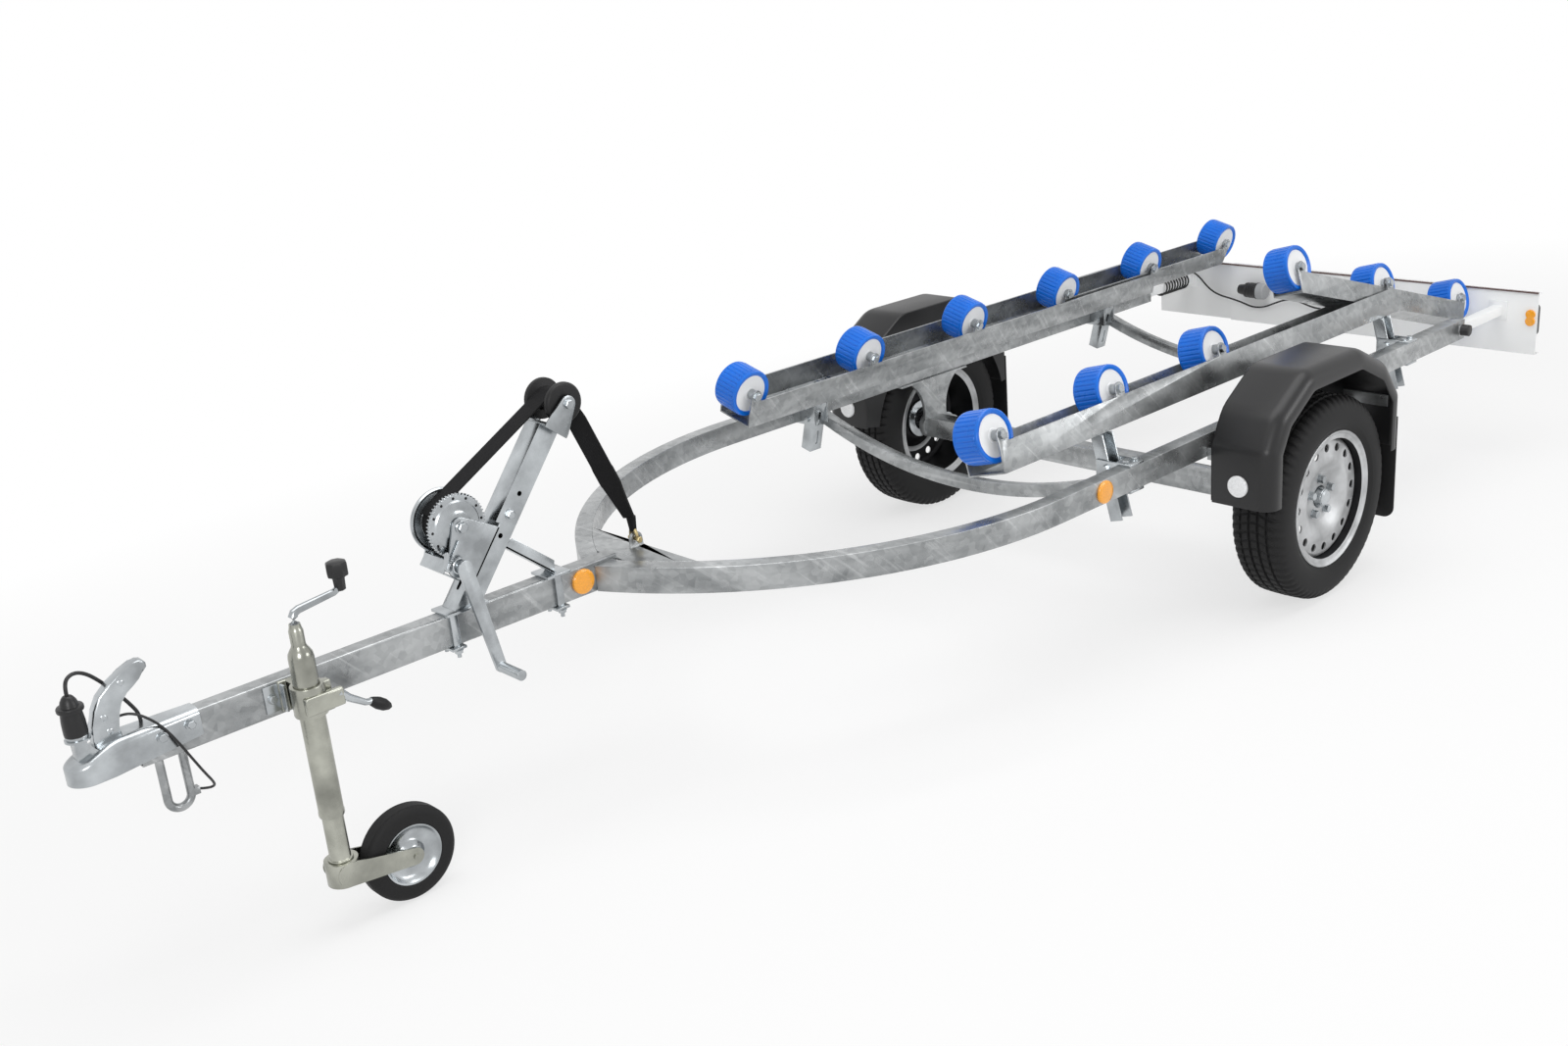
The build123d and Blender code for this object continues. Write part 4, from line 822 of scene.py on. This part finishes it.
def post_place(u, n, y, facing):
    """A place on the post whose local x points out from the post or across it."""
    directions = {"out": on_post(0, 1) - post_foot, "left": Vector((0, 1, 0)), "right": Vector((0, -1, 0))}
    return aimed(on_post(u, n, y), directions[facing])


def round_points(middle, radius, count=24):
    """Points round a circle."""
    angles = [2 * pi * k / count for k in range(count)]
    return [(middle[0] + radius * cos(angle), middle[1] + radius * sin(angle)) for angle in angles]


def plate(form, points, low, high, spot, ease=0.8, material=0):
    """A flat plate: the hull of some points, from low to high; spot turns (a, b, c) in mm into a place."""
    ring = [points[k] for k in convex_hull_2d(points)]
    below = [form.verts.new(spot(a, b, low)) for a, b in ring]
    above = [form.verts.new(spot(a, b, high)) for a, b in ring]
    faces = [form.faces.new(below), form.faces.new(above[::-1])]
    for k in range(len(ring)):
        after = (k + 1) % len(ring)
        faces.append(form.faces.new((below[k], above[k], above[after], below[after])))
    for face in faces:
        face.material_index = material
    edges = {edge for face in faces[:2] for edge in face.edges}
    bevel(form, list(edges), ease)


print("post leans by", round(post_lean, 3), "rad")

# %% Winch frame and pawl
form = bmesh.new()
inside, outside = 41, 46
foot = [(66, 25), (178, 25), (66, 34), (178, 34)]
cheek = round_points(drum_spot, 19) + round_points(crank_spot, 25) + foot
for low, high in ((-outside, -inside), (inside, outside)):
    plate(form, cheek, low, high, on_post)
plate(form, [(58, 25), (186, 25), (186, 30), (58, 30)], -outside, outside, on_post)
plate(form, [(46, 60), (49, 60), (49, 104), (46, 104)], -inside, outside, on_post)
plate(form, [(46, 101), (73, 101), (73, 105), (46, 105)], -inside, outside, on_post)
for u, n, wide in ((*drum_spot, 13.0), (*crank_spot, 17.0)):
    boss = [(0, wide), (4, wide), (5.5, wide - 2), (5.5, on_axis)]
    spin(form, post_place(u, n, outside, "left"), boss, 32, closed=False)
hex_bolt(form, post_place(*drum_spot, 51, "left"), 11.0, 8.0)
for u, y in ((84, 30), (84, -30), (160, 30), (160, -30)):
    hex_bolt(form, post_place(u, 30, y, "out"), 8.5, 7.0, 10.5)
pawl_top = on_post(118, 104, 52)
pawl_foot = on_post(56, 102, 52)
rod(form, [pawl_top, pawl_top.lerp(pawl_foot, 0.5), pawl_foot], 0.0032, 10)
for share in (0.55, 0.62, 0.69, 0.76):
    ring = aimed(pawl_top.lerp(pawl_foot, share), pawl_foot - pawl_top)
    spin(form, ring, [(-1.2, 4.2), (0, 6.4), (1.2, 4.2)], 16)
plate(form, round_points((60, 100), 8) + round_points((84, 118), 4), 47, 52, on_post)
dress("winch_frame", form, [zinc_plate])
print("winch frame dressed")

# %% Winch crank with its shorter grip, and the drum's trim
form = solid_form("winch_crank")
grip_start = 0.0725
grip_share = 0.66
for vert in form.verts:
    if vert.co.y > grip_start:
        vert.co.y = grip_start + grip_share * (vert.co.y - grip_start)
ease_edges(form, 1.6)
dress("winch_crank", form, [zinc_plate], 35)

place = on_joint("winch_drum_spin")
if (place.to_3x3() @ Vector((1, 0, 0))).y < 0:
    place = on_joint("winch_drum_spin", -1.0)
gear_hub = [(34, 52), (36.5, 49), (36.5, 33), (37.5, 30), (39.5, 24), (39.5, 12)]
painted_gear_holes = 12
painted_hole_circle = 57.0
drum_rim = [(-26, 60), (-23.5, 62), (-23.5, 65), (-27, 67.5), (-31.5, 67.5), (-31.5, 66)]
form = bmesh.new()
spin(form, place, gear_hub, 64, closed=False)
# The gear's holes are not cut: each one is a thin dark disc, painted shade where the hole shows.
for hole in range(painted_gear_holes):
    turn = 2 * pi * hole / painted_gear_holes
    spot = Matrix.Translation(Vector((0, painted_hole_circle * cos(turn), painted_hole_circle * sin(turn))) * mm)
    spin(form, place @ spot, [(34.05, 3.0), (34.25, 3.0), (34.25, on_axis)], 14, closed=False, material=1)
spin(form, place, drum_rim, 64)
add_piece("winch_drum_trim", form, "winch_drum", [zinc_plate, dark_steel])
print("winch crank, and a drum trim with", painted_gear_holes, "holes")

# %% [markdown]
# ## Winch post and its straps
# The post is a square tube with a few holes, bolted to the winch and to the bow roller's ears. Two pairs of
# straps clamp the post and its brace to the drawbar, so they can slide along it. The holes are cut with a
# boolean, because a painted hole would show no wall. The straps are plain blocks with eased edges, as the
# real ones are cut from flat bar.

# %% Winch post with its holes and bolts
form = solid_form("winch_post")
ease_edges(form, 2.0)
tool = bmesh.new()
hole_drill = [(0, on_axis), (0, 5.5), (20, 5.5), (20, on_axis)]
for u in (165.0, 260.0):
    spin(tool, post_place(u, 0, 15, "left"), hole_drill, 20)
plate(tool, round_points((34, 0), 4.5) + round_points((52, 0), 4.5), 18, 32, lambda a, b, c: on_post(a, c, b),
      0.1)
bmesh.ops.recalc_face_normals(tool, faces=tool.faces)
form = cut(form, tool)
for side, facing in ((1, "left"), (-1, "right")):
    hex_bolt(form, post_place(213, 0, side * 25, facing), 9.5, 8.0, 12.0)
for side, facing in ((1, "left"), (-1, "right")):
    hex_bolt(form, post_place(467, 2, side * 54.5, facing), 10.0, 8.0, 13.0)
add_piece("winch_post_dressed", form, "chassis", [zinc_plate], ["winch_post"])
print("winch post: 3 cuts and 4 bolts")

# %% Straps round the drawbar: a top plate, two flats, a bar below with nuts, and the brace
form = bmesh.new()
bar_top, bar_low, bar_half = 0.525, 0.455, 0.020
flat = 0.006
grip_half = 0.031
brace_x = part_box("post_straps")[0].x + 0.030
for middle, plate_half, bolt_x in ((post_foot.x, 0.050, post_foot.x + 0.033), (brace_x, 0.030, brace_x)):
    block(form, Vector((middle - plate_half, -grip_half, bar_top)),
          Vector((middle + plate_half, grip_half, bar_top + flat)))
    block(form, Vector((bolt_x - 0.017, -grip_half, bar_low - flat)),
          Vector((bolt_x + 0.017, grip_half, bar_low)))
    for side in (-1, 1):
        outer = Vector((bolt_x + 0.009, side * (bar_half + flat), bar_top + 0.002))
        inner = Vector((bolt_x - 0.009, side * bar_half, bar_low - 0.004))
        block(form, Vector(map(min, inner, outer)), Vector(map(max, inner, outer)))
        nut = Vector((bolt_x, side * 0.024, bar_low - flat))
        down = Matrix.Translation(nut) @ Matrix.Rotation(radians(90), 4, "Y")
        hex_bolt(form, down, 8.5, 9.0, 10.5)
        spin(form, down, [(8, 4.5), (17, 4.5), (17, on_axis)], 14, closed=False)
brace_foot = Vector((brace_x, 0.0, bar_top + flat))
brace_head = on_post(150, -25)
along = (brace_head - brace_foot).normalized()
across = along.cross(Vector((0, 1, 0)))


def on_brace(a, b, c):
    """A point by mm along the brace, out from it and across."""
    return brace_foot + along * a * mm + across * b * mm + Vector((0, c * mm, 0))


span = (brace_head - brace_foot).length / mm
plate(form, [(-4, -2.5), (span + 4, -2.5), (span + 4, 2.5), (-4, 2.5)], -17, 17, on_brace)
brace_wall = [(0, -2.5), (span, -2.5), (span - 12, 22), (16, 22)]
for c in (-17, 17):
    plate(form, brace_wall, min(c, 0.84 * c), max(c, 0.84 * c), on_brace, 0.5)
add_piece("post_straps_dressed", form, "chassis", [zinc_plate], ["post_straps"])
print("straps and a brace of", round(span), "mm")

# %% [markdown]
# ## Winch strap
# Flat webbing comes off the drum, runs over the bow roller and down to the eye. Its lower run turns a
# little, as slack webbing does, and its end is doubled, sewn and gathered into the shackle. So it is a
# ribbon of cross-sections along a line of two straight runs and one arc, with its own width, turn and
# thickness at each station.

# %% Strap as a ribbon
drum_centre = Vector(joints["winch_drum_spin"]["pos_m"]) / mm
bow_centre = Vector(joints["bow_roller_spin"]["pos_m"]) / mm
hook_end = Vector((924.5, 0.0, 587.0))
coil_run, bow_run = 47.5, 26.5
strap_half = 25.0
slack_turn = radians(-27)
sewn_from = 0.58
gather_from, gather = 0.72, 12.0
ribbon = ((-1, -1), (-0.5, -1), (0, -1), (0.5, -1), (1, -1), (1, 1), (0.5, 1), (0, 1), (-0.5, 1), (-1, 1))
gap = bow_centre - drum_centre
leave = atan2(gap.z, gap.x) - acos((coil_run - bow_run) / hypot(gap.x, gap.z))
fall = hook_end - bow_centre
land = atan2(fall.z, fall.x) - acos(bow_run / hypot(fall.x, fall.z)) + 2 * pi


def rim_point(centre, radius, angle):
    """A point on a circle in the trailer's middle plane."""
    return Vector((centre.x + radius * cos(angle), 0.0, centre.z + radius * sin(angle)))


stations = [rim_point(drum_centre, coil_run, leave - 0.5 + 0.1 * k) for k in range(5)]
start, over = rim_point(drum_centre, coil_run, leave), rim_point(bow_centre, bow_run, leave)
stations += [start.lerp(over, k / 12) for k in range(12)]
stations += [rim_point(bow_centre, bow_run, leave + (land - leave) * k / 20) for k in range(20)]
drop_from = rim_point(bow_centre, bow_run, land)
drop_start = len(stations)
drop_count = 40
stations += [drop_from.lerp(hook_end, k / drop_count) for k in range(drop_count + 1)]
form = bmesh.new()
rings = []
for number, point in enumerate(stations):
    before, after = stations[max(number - 1, 0)], stations[min(number + 1, len(stations) - 1)]
    along = (after - before).normalized()
    share = max(0.0, (number - drop_start) / drop_count)
    turn = Matrix.Rotation(slack_turn * min(1.0, 5 * share), 3, along)
    across = turn @ Vector((0, 1, 0))
    outward = across.cross(along)
    gathered = max(0.0, (share - gather_from) / (1 - gather_from))
    half = strap_half - gather * gathered ** 0.8
    thick, crown = (3.2, 0.5) if share > sewn_from else (1.5, 0.2)
    ring = []
    for a, b in ribbon:
        rise = thick * b + crown * (1 - a * a) * b
        ring.append(form.verts.new((point + across * half * a + outward * rise) * mm))
    rings.append(ring)
for here, there in zip(rings, rings[1:]):
    for k in range(len(here)):
        after = (k + 1) % len(here)
        form.faces.new((here[k], there[k], there[after], here[after]))
form.faces.new(rings[0])
form.faces.new(rings[-1])
add_piece("strap_woven", form, "chassis", [webbing], ["strap"], 40)
print("strap of", len(stations), "stations")

# %% Shackle at the strap's end
form = bmesh.new()
bow_top = Vector((0.9185, 0.0, 0.5755))
hook_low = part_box("strap_hook")[0]
left = Vector((0, 1, 0))
bow_half = 0.011
pin_half = 0.018
pin_spot = Vector((hook_low.x + 0.012, 0.0, hook_low.z + 0.010))
lift = (bow_top - pin_spot).normalized()
angles = [pi * k / 12 for k in range(13)]
bow = [pin_spot + lift * (0.004 + 0.020 * sin(angle)) + left * bow_half * cos(angle) for angle in angles]
bow = [pin_spot + left * bow_half] + bow + [pin_spot - left * bow_half]
rod(form, bow, 0.0042, 12)
rod(form, [pin_spot - left * pin_half, pin_spot + left * pin_half], 0.0046, 12)
hex_bolt(form, aimed(pin_spot + left * 0.015, left), 7.5, 6.0)
eye_rise = bow_top - pin_spot
rod(form, [pin_spot + eye_rise * share for share in (0.45, 1.25)], [0.008, 0.011], 16, material=1)
add_piece("strap_shackle", form, "chassis", [brass_plate, webbing], ["strap_hook"], 40)
print("shackle on its pin")

# %% [markdown]
# ## Reflectors
# Round amber reflectors sit on the drawbar and the rails, and round white ones on the fronts of the guards.
# A reflector is a shallow moulded cup with a domed face, so it is spun like the wheels.

# %% Domed reflectors
dome = [(0, 28), (3.5, 28), (5.5, 27), (6.6, 24.5), (7.2, 18), (7.6, 9), (7.7, on_axis)]
form = bmesh.new()
for side in (-1, 1):
    for spot, facing, material in (((1.080, 0.020, 0.490), (0, 1, 0), 0),
                                   ((-0.015, 0.590, 0.485), (0, 1, 0), 0),
                                   ((-0.440, 0.682, 0.394), (1, 0, 0), 1)):
        middle = Vector((spot[0], side * spot[1], spot[2]))
        look = Vector((facing[0], side * facing[1], facing[2]))
        spin(form, aimed(middle, look), dome, 40, closed=False, material=material)
add_piece("reflector_domes", form, "chassis", [amber_lens, clear_lens], ["reflectors"],
          40)
print("reflectors: 6")

# %% [markdown]
# ## Bolts
# Bolt heads and nuts show how the trailer is put together: on every roller pin, on the clamps that hold the
# bunk posts to the rails, on the coupling and on the jockey clamp's plate. They are one joined mesh for each
# body.

# %% Bolts on pins, clamps and coupling
form = bmesh.new()
rocker_forms = {"left": bmesh.new(), "right": bmesh.new()}
first_on_rocker = 4
on_channel = (1, 2, 3, 5)
channel_wall, rocker_wall = 58.0, 47.0
for side in ("left", "right"):
    for number in range(1, 7):
        for outward in (1.0, -1.0):
            place = on_joint("roller_" + side + "_" + str(number) + "_spin", outward)
            target = form if number < first_on_rocker else rocker_forms[side]
            wall = channel_wall if number in on_channel else rocker_wall
            hex_bolt(target, place @ Matrix.Translation(Vector((wall * mm, 0, 0))), 11.5, 8.0, 15.0)
            inner = 54.0 if number < first_on_rocker else 44.0
            spin(target, place, [(36, 8.6), (36, 13.5), (inner, 13.5), (inner, 8.6)], 24)
bunk_stations = (-0.145, -1.515)
clamp_half = 0.028
for side in (-1, 1):
    for station in bunk_stations:
        for end in (-1, 1):
            for z in (0.467, 0.503):
                spot = Vector((station + end * clamp_half, side * 0.520, z))
                hex_bolt(form, aimed(spot, Vector((end, 0, 0))), 8.5, 7.0, 11.0)
            spot = Vector((station + end * 0.017, side * 0.570, 0.521))
            hex_bolt(form, standing(spot), 8.0, 6.5, 10.5)
head_rear, head_half, head_spread = 1.945, 0.0253, 0.06
for x, z in ((1.965, 0.506), (2.020, 0.503)):
    for side in (-1, 1):
        spot = Vector((x, side * (head_half + head_spread * (x - head_rear)), z))
        hex_bolt(form, aimed(spot, Vector((0, side, 0))), 8.5, 7.0, 10.5)
plate_corner = Vector((leg_x + 0.026, 0.020, 0.466))
plate_face, plate_top = 0.0245, 0.520
block(form, plate_corner, Vector((leg_x + 0.062, plate_face, plate_top)))
block(form, plate_corner, Vector((leg_x + 0.031, 0.044, plate_top)))
hex_bolt(form, aimed(Vector((leg_x + 0.046, plate_face, 0.494)), left), 8.5, 7.0, 11.0)
add_piece("frame_bolts", form, "chassis", [zinc_plate])
for side, bolts in rocker_forms.items():
    add_piece("rocker_bolts_" + side, bolts, "rocker_" + side, [zinc_plate])
print("bolts on the frame and on", len(rocker_forms), "rockers")

# %% [markdown]
# ## Bunk posts
# The posts that carry the bunks are folded channels with slots for setting the height. The slots are cut
# with a boolean, because a painted slot would show no wall. Four bolts hold each bunk's floor to a post.

# %% Slotted bunk posts
form = solid_form("bunk_posts")
ease_edges(form, 1.0)
tool = bmesh.new()
bunk_tilt = radians(15.0)
bolts = bmesh.new()
for side in (-1, 1):
    out = Vector((0, side * cos(bunk_tilt), sin(bunk_tilt)))
    up = Vector((0, -side * sin(bunk_tilt), cos(bunk_tilt)))
    for station in bunk_stations:
        top = Vector((station, side * 0.415, 0.649)) + out * 0.052 - up * 0.088
        for along, across in ((-0.022, -0.014), (0.022, -0.014), (-0.022, -0.046), (0.022, -0.046)):
            spot = top + up * 0.004 + out * across + Vector((along, 0, 0))
            hex_bolt(bolts, aimed(spot, up, "Y"), 8.0, 6.5, 10.5)
        for low, high in ((-0.065, -0.030), (-0.130, -0.095), (-0.190, -0.155)):
            middle = top + up * (low + high) / 2

            def across_post(a, b, c, middle=middle, up=up, out=out):
                """A point by mm along the trailer, up the post and out."""
                return middle + Vector((a * mm, 0, 0)) + up * b * mm + out * c * mm

            half = (high - low) / 2 / mm
            plate(tool, round_points((0, half), 4.5) + round_points((0, -half), 4.5), -40, 40, across_post,
                  0.1)
bmesh.ops.recalc_face_normals(tool, faces=tool.faces)
add_piece("bunk_posts_slotted", cut(form, tool), "chassis", [zinc_plate],
          ["bunk_posts"], 30)
add_piece("bunk_bolts", bolts, "chassis", [zinc_plate])
print("bunk posts: 4, each with 3 slots and 4 bolts")

# %% [markdown]
# ## Coupling
# The head is a pressed shell: a channel over the drawbar that runs into a round nose over the ball, sloping
# down to the front. The solid has the channel and the round cup, so its copy is cut across into short bands
# and each band is lowered towards the nose. The lever is a deep pressing with soft edges, and the plug is
# turned, with a bright ring at its foot.

# %% Coupling head with its sloping nose
form = solid_form("coupling_head")
head_low, head_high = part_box("coupling_head")
lever_low, lever_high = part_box("coupling_lever")
head_top = lever_low.z
slope_start = 2.085
nose_drop = 0.40
bands = 12
for band in range(bands):
    spot = Vector((slope_start + (head_high.x - slope_start) * band / bands, 0, 0))
    everything = form.verts[:] + form.edges[:] + form.faces[:]
    bmesh.ops.bisect_plane(form, geom=everything, plane_co=spot, plane_no=Vector((1, 0, 0)))
for vert in form.verts:
    if vert.co.x > slope_start and vert.co.z < head_top + 0.0005:
        share = (vert.co.x - slope_start) / (head_high.x - slope_start)
        vert.co.z = head_low.z + (vert.co.z - head_low.z) * (1 - nose_drop * share * share * (3 - 2 * share))
ease_edges(form, 2.0)
dress("coupling_head", form, [zinc_plate], 40)
print("coupling head in", bands, "bands")

# %% Coupling lever with its rivets
lever_half = 0.012
lever_line = [(0, -16), (0, 4), (-3, 28), (-11, 56), (-24, 78), (-46, 97), (-72, 110), (-94, 119),
              (-104, 121.5), (-112, 119), (-117, 112), (-117, 104), (-111, 98), (-96, 92), (-84, 83),
              (-73, 70), (-60, 56), (-49, 42), (-45, 28), (-47, 12), (-51, -4)]
form = bmesh.new()
sides = [[form.verts.new((lever_high.x + x * mm, y, head_top + z * mm)) for x, z in lever_line]
         for y in (-lever_half, lever_half)]
faces = [form.faces.new(sides[0]), form.faces.new(sides[1][::-1])]
for k in range(len(lever_line)):
    after = (k + 1) % len(lever_line)
    form.faces.new((sides[0][k], sides[1][k], sides[1][after], sides[0][after]))
bevel(form, list({edge for face in faces for edge in face.edges}), 5, 5)
rivet = [(-0.5, 6.0), (0.8, 6.0), (1.8, 4.5), (2.2, on_axis)]
for x, z in ((-25, 40), (-30, 12), (-66, 92)):
    for side in (-1, 1):
        spot = Vector((lever_high.x + x * mm, side * lever_half, head_top + z * mm))
        spin(form, aimed(spot, Vector((0, side, 0))), rivet, 20, closed=False)
dress("coupling_lever", form, [zinc_plate], 40)
print("coupling lever from", len(lever_line), "corners")

# %% Parked plug
plug_low, plug_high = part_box("plug")
plug_ring = [(0, on_axis), (0, 19), (5, 19.6), (6, 18.8)]
plug_body = [(5.5, 18.5), (7, 20), (12, 20.5), (32, 20.2), (44, 19), (50, 18), (51.5, 18), (52.5, 22.5),
             (54, 23.2), (59, 23.2), (61, 22), (62, 16.5), (65, 15.5), (71, 14), (77, 10.5), (80, 7.8),
             (81, 5.5), (81, on_axis)]
form = bmesh.new()
place = standing(Vector(((plug_low.x + plug_high.x) / 2, 0, plug_low.z)))
spin(form, place, plug_ring, 40, closed=False, material=1)
spin(form, place, plug_body, 40, closed=False)
dress("plug", form, [black_plastic, zinc_plate])
print("plug on its bright ring")

# %% [markdown]
# ## Mudguards
# A moulded guard is a bent sheet with a rounded shoulder and a wall down its inner side, which hides the top
# of the tyre from the frame. The wall follows the guard's own arch, so rays cast at the solid find its
# outline.

# %% Mudguards with their inner walls
form = solid_form("mudguards")
shell = BVHTree.FromBMesh(form)
wheel_middle = Vector(joints["wheel_left_spin"]["pos_m"])
wall_low = 0.298
wall_steps = 64
wall_start, wall_sweep = radians(11.5), radians(156)
wall_y, wall_sheet = 0.606, 0.003
ease_edges(form, 1.5)
for side in (-1, 1):
    rows = []
    for step in range(wall_steps + 1):
        turn = wall_start + wall_sweep * step / wall_steps
        look = Vector((cos(turn), 0, sin(turn)))
        centre = Vector((wheel_middle.x, side * (wall_y + 0.002), wheel_middle.z))
        hit = shell.ray_cast(centre + look * 0.7, -look)[0]
        reach = (hit - centre).length
        corners = ((wall_y, reach), (wall_y - wall_sheet, reach - 0.002),
                   (wall_y - wall_sheet, wall_low), (wall_y, wall_low))
        rows.append([form.verts.new(Vector((wheel_middle.x, side * y, wheel_middle.z)) + look * radius)
                     for y, radius in corners])
    for here, there in zip(rows, rows[1:]):
        for k in range(4):
            form.faces.new((here[k], there[k], there[(k + 1) % 4], here[(k + 1) % 4]))
    form.faces.new(rows[0])
    form.faces.new(rows[-1])
dress("mudguards", form, [black_plastic], 35)
print("mudguards: 2, with walls in", wall_steps, "steps")

# %% [markdown]
# ## Light board
# The board is a white painted sheet with a dark strip along its top edge, which is a thin block laid on the
# fold. The lead's socket is a ribbed body with a pale cap, so it is spun along its longest side.

# %% Light board and socket
form = solid_form("light_board")
ease_edges(form, 0.8)
board_low, board_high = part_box("light_board")
face_x = board_high.x
strip_low = Vector((face_x - 0.004, board_low.y, board_high.z - 0.003))
strip_high = Vector((face_x + 0.0015, board_high.y, board_high.z + 0.0025))
block(form, strip_low, strip_high, 0.4, material=1)
dress("light_board", form, [board_paint, brown_trim], 35)

socket_low, socket_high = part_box("cable_socket")
middle, size = (socket_low + socket_high) / 2, socket_high - socket_low
reach, length = min(size) / 2 / mm, max(size) / mm
along = Vector([1.0 if part == max(size) else 0.0 for part in size])
place = aimed(middle - along * length / 2 * mm, along)
ridges = ((0.0, 0.001), (0.0, 0.55), (0.10, 0.62), (0.24, 0.62), (0.26, 0.86), (0.32, 0.9), (0.34, 0.84),
          (0.40, 0.84), (0.42, 0.92), (0.66, 0.92), (0.68, 1.0), (0.74, 1.0))
cap = ((0.74, 1.0), (0.78, 0.97), (0.96, 0.95), (1.0, 0.85), (1.0, 0.001))
form = bmesh.new()
for number, shares in enumerate((ridges, cap)):
    section = [(share * length, reach * wide) for share, wide in shares]
    spin(form, place, section, 36, closed=False, material=number)
dress("cable_socket", form, [black_plastic, grey_plastic])
print("board and socket dressed")

# %% [markdown]
# ## Floor, backdrop and light
# The photograph is a studio picture on pure white with a soft shadow. The lamps stay at a plain level, so a
# colour renders about as it is written. The white comes from the backdrop: rays from the camera and from
# shiny surfaces see a white of strength one, and the floor fades into it away from the trailer, where no
# shadow falls.

# %% Floor, backdrop and soft lamps
white = (1.0, 1.0, 1.0, 1.0)
floor_reach = 30.0
floor_form = bmesh.new()
bmesh.ops.create_grid(floor_form, x_segments=1, y_segments=1, size=floor_reach)
floor_mesh = bpy.data.meshes.new("floor")
floor_form.to_mesh(floor_mesh)
floor_form.free()
floor = bpy.data.objects.new("floor", floor_mesh)
scene.collection.objects.link(floor)


def seen_white(sheet):
    """One for rays that come from the camera, a shiny surface or a lens, else nought."""
    rays = ("Is Camera Ray", "Is Glossy Ray", "Is Transmission Ray")
    seen = [sheet.node("ShaderNodeLightPath", out=ray) for ray in rays]
    return seen[0].maths("MAXIMUM", seen[0].maths("MAXIMUM", seen[0], seen[1]), seen[2])


paper = named_finish("floor_paper", Base_Color=(0.9, 0.9, 0.9, 1.0), Roughness=0.9)
away = paper.node("ShaderNodeVectorMath", {"operation": "LENGTH"}, {0: paper.place((0.42, 0.9, 1.0))},
                  "Value")
fade = paper.contrast(away * 0.25, 0.22, 0.62)
glow = paper.node("ShaderNodeEmission", {}, {"Color": white, "Strength": 1.0})
blend = seen_white(paper) * (0.66 + 0.34 * fade)
shaded = Wire(paper, paper.shader.outputs[0])
surface = paper.node("ShaderNodeMixShader", {}, {0: blend, 1: shaded, 2: glow})
paper.tree.links.new(surface.socket, paper.tree.nodes["Material Output"].inputs["Surface"])
floor_mesh.materials.append(paper.owner)


def soft_lamp(name, place, aim, size, power):
    """A wide area lamp that points at its aim."""
    lamp = bpy.data.lights.new(name, "AREA")
    lamp.shape = "RECTANGLE"
    lamp.size, lamp.size_y = size
    lamp.energy = power
    piece = bpy.data.objects.new(name, lamp)
    piece.location = place
    piece.rotation_mode = "QUATERNION"
    piece.rotation_quaternion = (Vector(aim) - Vector(place)).to_track_quat("-Z", "Y")
    scene.collection.objects.link(piece)


soft_lamp("roof_lamp", (0.2, 0.5, 4.0), (0.0, 0.0, 0.0), (5.0, 2.4), 95)
soft_lamp("front_lamp", (4.4, 3.6, 2.4), (0.4, 0.2, 0.4), (1.6, 1.6), 72)
soft_lamp("left_lamp", (-2.4, 4.6, 2.0), (-0.6, 0.2, 0.4), (2.4, 1.2), 52)
world = bpy.data.worlds.new("studio")
scene.world = world
sky = Finish(world, "Background", Color=white)
sky.feed("Strength", 0.42 + 0.58 * seen_white(sky))
scene.view_settings.view_transform = "Standard"
print("white floor, three soft lamps")

# %% [markdown]
# ## Finish of the cords
# All three cords have a black plastic sheath. A cord bends in use, and the turns of the winding are an estimate.

# %% Finish of the cords
for cord in (plug_cord, safety_cord, light_cord):
    cord.data.materials.append(black_plastic)
print("cords: 3")

# %% [markdown]
# ## Sizes
# The dressing has to keep the overall size of the CAD model.

# %% End of the dressing
print("dressing done")
